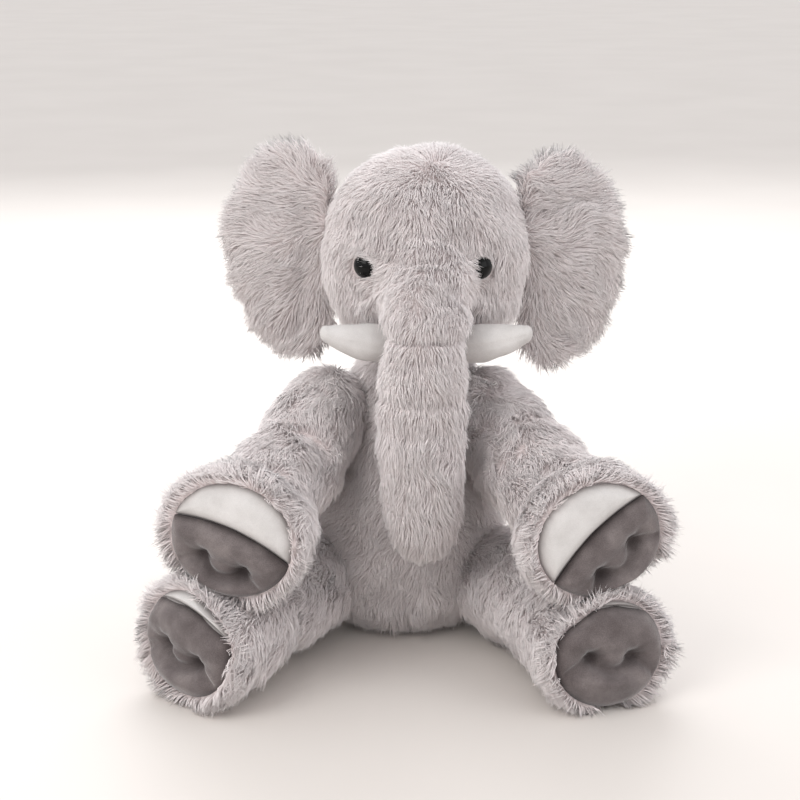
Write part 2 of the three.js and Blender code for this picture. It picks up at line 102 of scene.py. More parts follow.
# flat: a sole's height over its width; toe: the panel seam's distance from the sole's middle, as a share
# of half its height; bow: how far that seam bulges; toe_angle: which way the toe panel lies, in degrees
ARM = dict(root_r=39, ankle_r=42, ankle_l=70, sole_r=53, flat=0.9, toe=0.06, bow=9.0)
LEG = dict(root_r=46, ankle_r=45, ankle_l=70, sole_r=48, flat=0.92, bow=4.0)
LIMBS = {
    "arm_left": dict(
        ARM, root=(69, -21, 197), foot=(155, -188, 138), facing=(0.27, -0.96, 0.05), toe_angle=132
    ),
    "arm_right": dict(
        ARM, root=(-68, -21, 197), foot=(-138, -186, 137), facing=(-0.3, -0.95, 0.05), toe_angle=72
    ),
    "leg_left": dict(
        LEG, root=(86, -46, 50), foot=(164, -200, 47), facing=(0.33, -0.93, 0.12), toe_angle=84, toe=0.80
    ),
    "leg_right": dict(
        LEG, root=(-86, -46, 50), foot=(-175, -191, 52), facing=(-0.64, -0.76, 0.1), toe_angle=78, toe=0.55,
        bow=7.0,
    ),
}

SIDES = (("left", 1), ("right", -1))

# ---------------------------------------------------------------- vector helpers


def unit(v):
    v = np.asarray(v, float)
    return v / np.maximum(np.linalg.norm(v, axis=-1, keepdims=True), 1e-9)


def dot(a, b):
    return (a * b).sum(-1)


def smoothstep(x, low, high):
    t = np.clip((x - low) / (high - low), 0, 1)
    return t * t * (3 - 2 * t)


def bump(x, width):
    return np.exp(-((x / width) ** 2))


def catmull(points, count, closed=False):
    """A smooth curve through the points, at even parameter steps."""
    points = np.asarray(points, float)
    if closed:
        points = np.vstack([points[-1], points, points[:2]])
    else:
        points = np.vstack([2 * points[0] - points[1], points, 2 * points[-1] - points[-2]])
    spans = len(points) - 3
    at = np.linspace(0, spans, count, endpoint=not closed)
    i = np.minimum(at.astype(int), spans - 1)
    t = (at - i)[:, None]
    a, b, c, d = (points[i + k] for k in range(4))
    return 0.5 * (2 * b + (c - a) * t + (2 * a - 5 * b + 4 * c - d) * t**2 + (3 * b - a - 3 * c + d) * t**3)


def spaced(points, count):
    """The same curve at even steps of length."""
    step = np.linalg.norm(np.diff(points, axis=0), axis=1)
    reach = np.concatenate([[0], np.cumsum(step)])
    at = np.linspace(0, reach[-1], count)
    return np.stack([np.interp(at, reach, points[:, k]) for k in range(points.shape[1])], -1)


class Path:
    """A centre line with a side direction; local x is to the side, y is the rise and z runs along it."""

    def __init__(self, points, sideways):
        self.points = spaced(np.asarray(points, float), 160)
        step = np.linalg.norm(np.diff(self.points, axis=0), axis=1)
        self.reach = np.concatenate([[0], np.cumsum(step)])
        self.length = self.reach[-1]
        self.tangent = unit(np.gradient(self.points, self.reach, axis=0))
        self.sideways = unit(sideways)

    def frame(self, z):
        s = np.clip(z, 0, self.length)
        base = np.stack([np.interp(s, self.reach, self.points[:, k]) for k in range(3)], -1)
        along = unit(np.stack([np.interp(s, self.reach, self.tangent[:, k]) for k in range(3)], -1))
        side = unit(self.sideways - along * (along @ self.sideways)[..., None])
        return base + along * (z - s)[..., None], side, np.cross(along, side), along

    def place(self, local):
        local = np.asarray(local, float)
        base, side, rise, _ = self.frame(local[..., 2])
        return base + side * local[..., :1] + rise * local[..., 1:2]


for limb in LIMBS.values():
    limb["root"], limb["foot"] = np.array(limb["root"], float), np.array(limb["foot"], float)
    limb["facing"] = unit(limb["facing"])


def limb_path(limb):
    root, foot, facing = limb["root"], limb["foot"], limb["facing"]
    ankle = foot - facing * limb["ankle_l"]
    t = np.linspace(0, 1, 80)[:, None]
    curve = (1 - t) ** 2 * root + 2 * t * (1 - t) * ankle + t**2 * foot
    return Path(curve, (-facing[1], facing[0], 0))


def turned(profile, sides):
    """Rings of points around Z from (radius, height) pairs."""
    profile = np.asarray(profile, float)
    turn = np.linspace(0, 2 * math.pi, sides, endpoint=False)
    x = profile[:, :1] * np.cos(turn)
    y = profile[:, :1] * np.sin(turn)
    z = np.repeat(profile[:, 1:], sides, 1)
    return np.stack([x, y, z], -1)


def drawn_in(profile):
    """A skin's profile, given from its high end down, moved inwards to the fabric's backing."""
    way = unit(np.gradient(profile, axis=0))
    return profile + np.column_stack([way[:, 1], -way[:, 0]]) * SKIN_INSET


def ended(radius, z, before, after):
    """(radius, height) pairs that start and end on the axis, so far before and after the rest."""
    return np.vstack([[0, z[0] - before], np.column_stack([radius, z]), [0, z[-1] + after]])


def rounded(past, reach, least=0.02):
    """The share of its radius that a round end has, so far past its start."""
    return np.sqrt(np.clip(1 - (np.maximum(past, 0) / reach) ** 2, least, 1))


def press_normal(limb):
    """The upward normal of the flat where this side's arm foot rests on its leg foot."""
    return unit(PRESS_NORMAL) * [math.copysign(1, limb["root"][0]), 1, 1]


def pressed(points, limb, name, inset):
    """Feet rest on each other and on the ground; points slide across the sole's facing."""
    facing, normal = limb["facing"], press_normal(limb)
    distance = unit(PRESS_NORMAL) @ PRESS_POINT
    if name.startswith("arm"):
        planes = [(normal, distance, inset)]
    else:
        planes = [(-normal, -distance, inset), (np.array([0, 0, 1.0]), 0.0, GROUND_INSET)]
    for way, at, gap in planes:
        slide = way - facing * (way @ facing)
        slide /= slide @ way
        depth = at + gap - points @ way
        points = points + slide * np.maximum(depth, 0)[..., None]
    return points


# ---------------------------------------------------------------- mesh helpers


def linked(name, data):
    obj = bpy.data.objects.new(name, data)
    scene.collection.objects.link(obj)
    return obj


def mesh_object(name, points, faces):
    mesh = bpy.data.meshes.new(name)
    mesh.from_pydata((np.asarray(points) * MM).tolist(), [], faces)
    mesh.validate()
    mesh.polygons.foreach_set("use_smooth", np.ones(len(mesh.polygons), bool))
    mesh.update()
    return linked(name, mesh)


def skin(name, rings):
    """A closed body from rings of points; the first and last rings shrink to one point each."""
    rings = np.asarray(rings, float)
    count, sides, _ = rings.shape
    inner = rings[1:-1].reshape(-1, 3)
    points = np.vstack([inner, rings[0].mean(0), rings[-1].mean(0)])
    first, last = len(inner), len(inner) + 1
    faces = []
    for i in range(0, (count - 3) * sides, sides):
        for j in range(sides):
            k = (j + 1) % sides
            faces.append((i + j, i + k, i + sides + k, i + sides + j))
    top = (count - 3) * sides
    for j in range(sides):
        k = (j + 1) % sides
        faces.append((first, k, j))
        faces.append((last, top + j, top + k))
    return mesh_object(name, points, faces)


def pillow_rings(outline, middle, front, back, steps):
    """Rings of (x, y, height): the front from its middle out to the outline, then the back to its middle."""
    share = np.sin(np.linspace(0, math.pi / 2, steps))
    rings = []
    for height, shares in ((front, share), (back, share[::-1][1:])):
        for s in shares:
            flat = middle + (outline - middle) * s
            rings.append(np.column_stack([flat, height(flat, s)]))
    return np.array(rings)


def drop(obj):
    mesh = obj.data
    bpy.data.objects.remove(obj)
    bpy.data.meshes.remove(mesh)


def settle(obj, modifiers):
    """Applies modifiers by keeping the evaluated mesh."""
    graph = bpy.context.evaluated_depsgraph_get()
    mesh = bpy.data.meshes.new_from_object(obj.evaluated_get(graph))
    for modifier in modifiers:
        obj.modifiers.remove(modifier)
    old = obj.data
    obj.data = mesh
    bpy.data.meshes.remove(old)
    mesh.name = obj.name
    mesh.polygons.foreach_set("use_smooth", np.ones(len(mesh.polygons), bool))


def remeshing(obj, voxel):
    remesh = obj.modifiers.new("Skin", "REMESH")
    remesh.mode, remesh.voxel_size = "VOXEL", voxel * MM
    return remesh


def fused(name, parts, voxel, smoothing):
    """One skin round several closed bodies, with its inside corners softened."""
    points, faces, base = [], [], 0
    for part in parts:
        co = coords(part)
        points.append(co)
        faces += [tuple(base + v for v in p.vertices) for p in part.data.polygons]
        base += len(co)
        drop(part)
    obj = mesh_object(name, np.vstack(points), faces)
    remesh = remeshing(obj, voxel)
    smooth = obj.modifiers.new("Soften", "SMOOTH")
    smooth.factor, smooth.iterations = 0.5, smoothing
    settle(obj, [remesh, smooth])
    return obj


def stuffed(skins):
    """Sewn skins swell on their stuffing: one short cloth simulation for all of them. Each comes with
    a function that says how free each point is, from 0, held by a seam or a neighbour, to 1."""
    starts = {}
    for obj, free_at in skins:
        if not obj.name.startswith("head"):
            settle(obj, [remeshing(obj, VOXEL)])
        points = coords(obj)
        free = np.clip(free_at(points), 0, 1)
        start = points - normals_of(obj) * (STUFFING_START * free)[:, None]
        starts[obj.name] = (points, free)
        set_coords(obj, start)
        held = obj.vertex_groups.new(name="held")
        steps = np.round((1 - free) * HOLD_STEPS).astype(int)
        for step in range(1, HOLD_STEPS + 1):
            held.add(np.flatnonzero(steps == step).tolist(), step / HOLD_STEPS, "REPLACE")
        cloth = obj.modifiers.new("Cloth", "CLOTH")
        cloth.settings.quality = 5
        cloth.settings.mass = 0.2
        cloth.settings.shrink_min = -FABRIC_SLACK
        cloth.settings.bending_stiffness = 0.5
        cloth.settings.use_pressure = True
        cloth.settings.uniform_pressure_force = STUFFING_PRESSURE
        cloth.settings.effector_weights.gravity = 0
        cloth.settings.vertex_group_mass = held.name
        cloth.point_cache.frame_start, cloth.point_cache.frame_end = 1, STUFFING_FRAMES
    for step in range(1, STUFFING_FRAMES + 1):
        scene.frame_set(step)
    for obj, _ in skins:
        points, free = starts[obj.name]
        settle(obj, [m for m in obj.modifiers if m.type == "CLOTH"])
        obj.vertex_groups.clear()
        move = coords(obj) - points
        reach = np.linalg.norm(move, axis=1, keepdims=True)
        move *= np.minimum(1, STUFFING_CAP / np.maximum(reach, 1e-6)) * free[:, None]
        set_coords(obj, points + move)
        smoother = obj.modifiers.new("Smoother", "SUBSURF")
        smoother.levels = smoother.render_levels = 1
        settle(obj, [smoother])
    scene.frame_set(1)


def vertex_values(obj, kind):
    values = np.empty(len(obj.data.vertices) * 3)
    obj.data.vertices.foreach_get(kind, values)
    return values.reshape(-1, 3)


def coords(obj):
    return vertex_values(obj, "co") / MM


def set_coords(obj, points):
    obj.data.vertices.foreach_set("co", (points * MM).ravel())
    obj.data.update()


def normals_of(obj):
    return vertex_values(obj, "normal")


def facing_out(obj):
    """Turns the faces outwards, by the signed volume."""
    points, _, tri = solid_of(obj)
    a, b, c = (points[tri[:, k]] for k in range(3))
    if dot(a, np.cross(b, c)).sum() < 0:
        obj.data.flip_normals()
    return obj


def solid_of(obj):
    obj.data.calc_loop_triangles()
    tri = np.empty(len(obj.data.loop_triangles) * 3, np.int64)
    obj.data.loop_triangles.foreach_get("vertices", tri)
    return coords(obj), normals_of(obj), tri.reshape(-1, 3)


def wobble(points, size, seed, waves=7):
    """Smooth noise between about -1 and 1 whose lumps are size millimetres wide."""
    rng = np.random.default_rng(seed)
    way = unit(rng.normal(size=(waves, 3))) * (2 * math.pi / size) * rng.uniform(0.45, 1.3, (waves, 1))
    shift = rng.uniform(0, 2 * math.pi, waves)
    return np.sin(points @ way.T + shift).sum(-1) / math.sqrt(waves)


def lumps(obj, size, height, seed, where=None):
    """Stuffing pushes the fabric out unevenly."""
    points, normals = coords(obj), normals_of(obj)
    amount = wobble(points, size, seed) * height
    if where is not None:
        amount = amount * where(points)
    points = points + normals * amount[:, None]
    points[:, 2] = np.maximum(points[:, 2], FLOOR_GAP)
    set_coords(obj, points)


# ---------------------------------------------------------------- materials


def node_material(name):
    material = bpy.data.materials.new(name)
    material.use_nodes = True
    tree = material.node_tree
    shader = next(n for n in tree.nodes if n.type == "BSDF_PRINCIPLED")
    return material, tree, shader


def finish_look(tree, shader, colour, values):
    """The shader's colour from a node, and its other inputs by value."""
    tree.links.new(colour, shader.inputs["Base Color"])
    for socket, value in values.items():
        shader.inputs[socket].default_value = value


def object_space(tree):
    return tree.nodes.new("ShaderNodeTexCoord").outputs["Object"]


def noise_node(tree, scale, detail, coordinates):
    node = tree.nodes.new("ShaderNodeTexNoise")
    node.inputs["Scale"].default_value = scale
    node.inputs["Detail"].default_value = detail
    tree.links.new(coordinates, node.inputs["Vector"])
    return node.outputs["Fac"]


def ramp_node(tree, factor, stops):
    node = tree.nodes.new("ShaderNodeValToRGB")
    while len(node.color_ramp.elements) < len(stops):
        node.color_ramp.elements.new(0.5)
    for element, (at, colour) in zip(node.color_ramp.elements, stops):
        element.position = at
        element.color = (*colour, 1)
    tree.links.new(factor, node.inputs["Fac"])
    return node.outputs["Color"]


def mix_node(tree, kind, share, a, b):
    node = tree.nodes.new("ShaderNodeMix")
    node.data_type, node.blend_type = "RGBA", kind
    for socket, value in (("Factor", share), ("A", a), ("B", b)):
        target = next(s for s in node.inputs if s.name == socket and s.enabled)
        if hasattr(value, "is_output"):
            tree.links.new(value, target)
        else:
            target.default_value = value
    return next(s for s in node.outputs if s.enabled)


def bump_node(tree, height, strength, distance, before=None):
    node = tree.nodes.new("ShaderNodeBump")
    node.inputs["Strength"].default_value = strength
    node.inputs["Distance"].default_value = distance
    tree.links.new(height, node.inputs["Height"])
    if before is not None:
        tree.links.new(before, node.inputs["Normal"])
    return node.outputs["Normal"]


def pile_material(name, root, middle, tip):
    """Strand colour: from the root to the tip along V, darker at the root partly as the fur's own frosted
    tips and partly as painted shade deep in the pile, and lighter or darker by strand along U.
    """
    material, tree, shader = node_material(name)
    uv = tree.nodes.new("ShaderNodeUVMap")
    uv.uv_map = "OFBake"
    split = tree.nodes.new("ShaderNodeSeparateXYZ")
    tree.links.new(uv.outputs["UV"], split.inputs[0])
    along = ramp_node(tree, split.outputs["Y"], [(0.0, root), (0.45, middle), (1.0, tip)])
    dark, plain, light = (0.80, 0.78, 0.78), (0.94, 0.93, 0.93), (1.0, 1.0, 1.0)
    strand = ramp_node(tree, split.outputs["X"], [(0.0, dark), (0.55, plain), (1.0, light)])
    colour = mix_node(tree, "MULTIPLY", 1.0, along, strand)
    surface = {"Roughness": 0.78, "Specular IOR Level": 0.25, "Sheen Weight": 0.35, "Sheen Roughness": 0.5}
    inside = {"Subsurface Weight": 0.35, "Subsurface Radius": (1.0, 0.9, 0.9), "Subsurface Scale": 0.0015}
    finish_look(tree, shader, colour, surface | inside)
    return material


def nap_material(name, deep, plain, brushed, grain, sheen):
    """Short-nap fabric: brushed patches, fine grain, a napped surface, and painted shade in the creases and
    along the panel edges.
    """
    material, tree, shader = node_material(name)
    where = object_space(tree)
    patches = ramp_node(tree, noise_node(tree, 48, 3, where), [(0.32, deep), (0.5, plain), (0.72, brushed)])
    fine = noise_node(tree, 1500, 2, where)
    speck = ramp_node(tree, fine, [(0.3, (grain, grain, grain)), (0.7, (1, 1, 1))])
    colour = mix_node(tree, "MULTIPLY", 1.0, patches, speck)
    # painted shade: a point attribute darkens the creases, the panel edges and the panels' backs
    crease_shade = tree.nodes.new("ShaderNodeAttribute")
    crease_shade.attribute_name = "crease_shade"
    shadow = ramp_node(tree, crease_shade.outputs["Fac"], [(0.0, (1, 1, 1)), (1.0, (0.42, 0.40, 0.40))])
    colour = mix_node(tree, "MULTIPLY", 1.0, colour, shadow)
    soft = bump_node(tree, noise_node(tree, 260, 2, where), 0.25, 0.0012)
    tree.links.new(bump_node(tree, fine, 0.45, 0.0005, soft), shader.inputs["Normal"])
    surface = {"Roughness": 0.88, "Specular IOR Level": 0.2, "Sheen Weight": sheen, "Sheen Roughness": 0.45}
    finish_look(tree, shader, colour, surface)
    return material


def backing_material(name, deep, pale):
    """The knitted backing and the dense foot of the pile, seen between strands, darker than the pile as
    painted shade deep in it.
    """
    material, tree, shader = node_material(name)
    where = object_space(tree)
    colour = ramp_node(tree, noise_node(tree, 420, 4, where), [(0.35, deep), (0.65, pale)])
    tree.links.new(bump_node(tree, noise_node(tree, 700, 3, where), 0.7, 0.002), shader.inputs["Normal"])
    finish_look(tree, shader, colour, {"Roughness": 0.95, "Specular IOR Level": 0.1})
    return material


def plain_material(name, dark, light, roughness, scale, specular=0.3):
    """One colour that varies a little over patches of the given scale."""
    material, tree, shader = node_material(name)
    where = object_space(tree)
    colour = ramp_node(tree, noise_node(tree, scale, 3, where), [(0.3, dark), (0.7, light)])
    finish_look(tree, shader, colour, {"Roughness": roughness, "Specular IOR Level": specular})
    return material


# roots darker than tips: partly frosted tips of the fur itself, partly painted shade deep in the pile
FUR = pile_material("grey_pile", (0.76, 0.665, 0.655), (0.88, 0.795, 0.785), (0.96, 0.90, 0.89))
# darker than the pile's roots and tips: painted shade between the strands
BACKING = backing_material("grey_backing", (0.66, 0.575, 0.565), (0.76, 0.68, 0.67))
WHITE = nap_material(
    "white_nap", (0.57, 0.55, 0.535), (0.62, 0.60, 0.585), (0.67, 0.65, 0.635), 0.90, 0.15
)
DARK = nap_material(
    "dark_nap", (0.120, 0.099, 0.097), (0.160, 0.135, 0.133), (0.235, 0.203, 0.197), 0.66, 0.45
)
EYE = plain_material("black_eye", (0.002, 0.002, 0.002), (0.004, 0.004, 0.004), 0.07, 60, 0.16)
WASHER = plain_material("washer", (0.60, 0.60, 0.58), (0.72, 0.72, 0.70), 0.5, 300)
THREAD = plain_material("thread", (0.09, 0.085, 0.09), (0.16, 0.15, 0.155), 0.8, 2500)


def finish_piece(obj, body, material, replaced=(), blend=None):
    """Material and slot of a new piece, with the parts that it replaces hidden, and the body that it rides
    on; with a blend it stays unattached and its transform is applied.
    """
    obj.data.materials.clear()
    obj.data.materials.append(material)
    if not blend:
        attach(obj, body)
    if replaced:
        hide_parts(*replaced)
    if blend:
        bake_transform(obj)


# ---------------------------------------------------------------- pile

PILE = 16.0  # length of a strand on the body
FACE_PILE, TRUNK_PILE, NECK_PILE = 15.0, 14.0, 9.0
SPACING = 1.32  # between strands
STRAND_R = 0.39
SUNK = 0.8  # a strand starts this far inside its skin
SWIRL = 0.6  # radians by which the pile drifts from the way it is combed, over 40 mm
STRAY = 0.22  # the same over 15 mm, and again from strand to strand
LEAN = (42, 70)  # degrees from the skin's normal, of a strand's root half and its tip half
LEAN_SPREAD = (8, 9)  # degrees, from strand to strand
LEAN_DRIFT = 4  # degrees, of the root half over 26 mm
LEAN_UNDER = (6, 12)  # degrees by which a strand may stand more upright than its lean
LEAN_MAX = (68, 83)
DROOP = 0.16  # how strongly the tip halves hang
TIP_RISE = 0.16  # the least slope of a tip half away from the skin
LENGTH_SPREAD, LENGTH_DRIFT = 0.13, 0.10
LOCK = 7  # one strand in this many leads a lock
LOCK_REACH = 9.0
LOCK_PULL, ROOT_PULL = 0.36, 0.35  # how far the tips gather, and the share of that for the middles

solids = {}
trees = {}


def remember(name, obj):
    """Keeps a skin's surface, for its own pile and so that other pile stays out of it."""
    solids[name] = solid_of(obj)


def tree_of(name):
    if name not in trees:
        points, _, tri = solids[name]
        trees[name] = BVHTree.FromPolygons(points.tolist(), tri.tolist())
    return trees[name]


def is_inside(points, name, margin=0.5):
    """Which points are deeper inside a remembered skin than the margin."""
    surface, _, _ = solids[name]
    low, high = surface.min(0), surface.max(0)
    near = ((points > low) & (points < high)).all(1)
    result = np.zeros(len(points), bool)
    if near.any():
        tree = tree_of(name)
        for i in np.flatnonzero(near):
            place, normal, _, _ = tree.find_nearest(Vector(points[i]))
            result[i] = (Vector(points[i]) - place).dot(normal) < -margin
    return result


def scattered(name, spacing, seed):
    """Points spread evenly over a skin, with their normals: about one to each spacing squared."""
    rng = np.random.default_rng(seed)
    points, normals, tri = solids[name]
    a, b, c = (points[tri[:, k]] for k in range(3))
    area = np.linalg.norm(np.cross(b - a, c - a), axis=1) / 2
    count = int(area.sum() / spacing**2)
    reach = np.cumsum(area)
    pick = np.searchsorted(reach, (np.arange(count) + rng.random(count)) / count * reach[-1])
    pick = np.minimum(pick, len(tri) - 1)
    u, v = rng.random(count), rng.random(count)
    flip = u + v > 1
    u[flip], v[flip] = 1 - u[flip], 1 - v[flip]
    share = np.stack([1 - u - v, u, v], -1)[..., None]
    place = (points[tri[pick]] * share).sum(1)
    normal = unit((normals[tri[pick]] * share).sum(1))
    return place, normal, rng


def turned_about(vectors, axes, angle):
    """Vectors turned about the axes that they are square to."""
    return vectors * np.cos(angle)[:, None] + np.cross(axes, vectors) * np.sin(angle)[:, None]


def grow(name, skin_name, body, comb, seed, spacing=SPACING, length=PILE, lean=LEAN, swirl=SWIRL,
         keep=None, scale=None, lying=None, blockers=(), detour=None, blend=None, split=("",)):
    """Pile over a skin: tapered strands that start across the surface, droop the way they are combed
    and gather into locks. comb gives each strand's way, keep its chance to grow, scale its share of
    the length, lying its share of the lean, and detour the way past a neighbour. No strand grows
    inside the blockers. split names the pieces that the pile is shared between, from front to back."""
    place, normal, rng = scattered(skin_name, spacing, seed)
    count = len(place)
    chance = rng.random(count)
    spread = rng.normal(size=(count, 6))
    shade = rng.random(count)
    if keep is not None:
        kept = chance < keep(place, normal)
        place, normal, spread, shade = (x[kept] for x in (place, normal, spread, shade))
    way = comb(place, normal)
    way = unit(way - normal * dot(way, normal)[:, None])
    turn = swirl * wobble(place, 40, seed + 1) + STRAY * wobble(place, 15, seed + 5)
    way = turned_about(way, normal, turn + STRAY * spread[:, 0])
    size = length * (1 + LENGTH_SPREAD * spread[:, 1] + LENGTH_DRIFT * wobble(place, 22, seed + 2))
    if scale is not None:
        size = size * scale(place)
    drift = (LEAN_DRIFT * wobble(place, 26, seed + 3), 0)
    share = 1 if lying is None else lying(place)
    halves = []
    for k in (0, 1):
        tilt = np.radians(lean[k] + LEAN_SPREAD[k] * spread[:, 2 + k] + drift[k])
        tilt = np.maximum(tilt, math.radians(lean[k] - LEAN_UNDER[k])) * share
        tilt = np.minimum(tilt, math.radians(LEAN_MAX[k]))
        halves.append(normal * np.cos(tilt)[:, None] + way * np.sin(tilt)[:, None])
    first, second = halves
    second = second + np.array([0, 0, -DROOP])
    second = unit(second + normal * np.maximum(TIP_RISE - dot(second, normal), 0)[:, None])
    start = place - normal * SUNK
    middle = start + first * (size * 0.5)[:, None]
    if detour is not None:
        stuck = np.zeros(len(place), bool)
        for other in blockers:
            stuck |= is_inside(middle, other, -1.5)
        around = unit(detour + 0.10 * spread[stuck, 2:5])
        first[stuck] = unit(around + 0.10 * normal[stuck])
        second[stuck] = unit(around + np.array([0, 0, -0.12]))
        middle[stuck] = start[stuck] + first[stuck] * (size[stuck] * 0.45)[:, None]
    end = middle + second * (size * 0.5)[:, None]

    leaders = np.arange(0, len(place), LOCK)
    tree = KDTree(len(leaders))
    for i, k in enumerate(leaders):
        tree.insert(place[k], i)
    tree.balance()
    lead = leaders[[tree.find(p)[1] for p in place]]
    near = bump(np.linalg.norm(place - place[lead], axis=1), LOCK_REACH)
    pull = LOCK_PULL * near * np.clip(1 + 0.3 * spread[:, 4], 0.3, 1.3)
    end = end + (end[lead] - end) * pull[:, None]
    middle = middle + (middle[lead] - middle) * (ROOT_PULL * pull)[:, None]

    hidden = np.zeros(len(place), bool)
    for other in blockers:
        hidden |= is_inside(middle, other) | is_inside(place, other)
    parts = [x[~hidden] for x in (start, middle, end, normal, spread, shade, size, place)]
    start, middle, end, normal, spread, shade, size, place = parts

    thick = STRAND_R * np.clip(1 + 0.18 * spread[:, 5], 0.6, 1.5) * np.clip(size / length, 0.55, 1.2)
    verts, shading = [], []
    for at, way, share in ((start, first[~hidden], 1.0), (middle, unit(end - start), 0.85)):
        side = unit(np.cross(way, normal + 0.01))
        rise = np.cross(way, side)
        for k in range(3):
            turn = 2 * math.pi * k / 3 + 0.5
            out = side * math.cos(turn) + rise * math.sin(turn)
            verts.append(at + out * (thick * share)[:, None])
            shading.append(unit(normal * 0.58 + out * 0.66))
    verts.append(end)
    shading.append(unit(normal * 0.9 + unit(end - start) * 0.1))
    points = np.stack(verts, 1)
    flattened_at = 0.5 + 0.8 * shade
    points[..., 2] = np.maximum(points[..., 2], flattened_at[:, None])
    dark_strand = shade < 0.07
    tone = 0.52 + 0.30 * (shade - 0.5) + 0.16 * wobble(place, 20, seed + 4) - 0.16 * dark_strand
    tone, shading = np.clip(tone, 0.02, 0.98), np.stack(shading, 1)
    order = np.argsort(place[:, 1], kind="stable")
    for ending, part in zip(split, np.array_split(order, len(split))):
        obj = strand_mesh(name + ending, points[part], shading[part], tone[part])
        finish_piece(obj, body, FUR, blend=blend)


def strand_mesh(name, points, shading, tone):
    """All strands of one piece as closed spikes, each with two triangular rings and a tip. The UV
    layer holds the strand's tone along U, and the height along the strand along V."""
    count = len(points)
    sides = [(0, 1, 4, 3), (1, 2, 5, 4), (2, 0, 3, 5)]
    ends = [(3, 4, 6), (4, 5, 6), (5, 3, 6), (2, 1, 0)]
    pattern = np.array([v for face in sides + ends for v in face])
    sizes = [len(face) for face in sides + ends]
    starts = np.concatenate([[0], np.cumsum(sizes)[:-1]])
    mesh = bpy.data.meshes.new(name)
    mesh.vertices.add(count * 7)
    mesh.vertices.foreach_set("co", (points.reshape(-1, 3) * MM).astype(np.float32).ravel())
    loops = (np.arange(count)[:, None] * 7 + pattern).ravel()
    mesh.loops.add(len(loops))
    mesh.loops.foreach_set("vertex_index", loops.astype(np.int32))
    begin = (np.arange(count)[:, None] * len(pattern) + starts).ravel()
    mesh.polygons.add(len(begin))
    mesh.polygons.foreach_set("loop_start", begin.astype(np.int32))
    mesh.polygons.foreach_set("use_smooth", np.ones(len(begin), bool))
    height = np.array([0, 0, 0, 0.5, 0.5, 0.5, 1.0])[pattern]
    uv = np.empty((count, len(pattern), 2), np.float32)
    uv[..., 0] = tone[:, None]
    uv[..., 1] = 0.02 + 0.96 * height
    layer = mesh.uv_layers.new(name="OFBake")
    layer.data.foreach_set("uv", uv.ravel())
    mesh.update(calc_edges=True)
    mesh.normals_split_custom_set_from_vertices(shading.reshape(-1, 3).tolist())
    return linked(name, mesh)


# ---------------------------------------------------------------- torso


def torso_skin():
    outline = [(38.5, TORSO_TOP), (46, 230), (50, 208), (57, 166), (76, 122), (86, 72), (76, 24), (48, 0)]
    profile = drawn_in(spaced(catmull(outline, 120), 56))
    profile = np.vstack([[0, TORSO_TOP - 2], profile, [0, FLOOR_GAP]])[::-1]
    rings = turned(profile, 72)
    rings[..., 1] *= TORSO_DEPTH
    lean = smoothstep(rings[..., 2], BELLY_TOP, TORSO_TOP)
    rings[..., :2] += NECK[:2] * lean[..., None]
    rings[..., 2] = np.maximum(rings[..., 2], FLOOR_GAP)
    return skin("torso_skin", rings)


def torso_seam(obj):
    """The seam down the lower belly draws the fabric in."""
    points = coords(obj)
    front = smoothstep(-points[:, 1], 40, 80) * smoothstep(points[:, 2], 4, 18)
    seam = bump(points[:, 0] - 2, 5) * smoothstep(80 - points[:, 2], 0, 40) * front
    points[:, 1] += BELLY_SEAM * seam
    set_coords(obj, points)


# ---------------------------------------------------------------- limbs and soles


def clear_of_press(name, place):
    """How far a skin's place is from the flat where the arm's foot rests on the leg's."""
    gap = place @ press_normal(LIMBS[name]) - unit(PRESS_NORMAL) @ PRESS_POINT
    return gap - PRESS_ARM if name.startswith("arm") else -gap - PRESS_LEG


def limb_skin(name, limb):
    path = limb_path(limb)
    length, foot_r = path.length, limb["sole_r"] + FOOT_RIM
    outline = [
        (limb["sole_r"] + 5, length - 1),
        (foot_r - 1, length - 8),
        (foot_r, length - 20),
        (foot_r - 3, length - 38),
        (limb["ankle_r"] + 3, length - 66),
        (limb["ankle_r"], length * 0.42),
        (limb["root_r"], 0),
    ]
    shin = drawn_in(spaced(catmull(outline, 120), 40))
    round_root = limb["root_r"] - SKIN_INSET
    turn = np.linspace(0, math.pi / 2, 12)[1:]
    root = np.column_stack([round_root * np.cos(turn), -round_root * np.sin(turn)])
    sole_r = limb["sole_r"]
    back = length - SOLE_SUNK
    sole = [(0, back), (sole_r * 0.6, back), (sole_r - 6, back + 0.5), (sole_r - 1.5, back + 3)]
    profile = np.vstack([sole, shin, root])[::-1]
    rings = turned(profile, 56)
    rings[..., 1] *= limb["flat"]
    rings = path.place(rings)
    rings = pressed(rings, limb, name, PRESS_ARM if name.startswith("arm") else PRESS_LEG)
    return skin(f"{name}_skin", rings), path


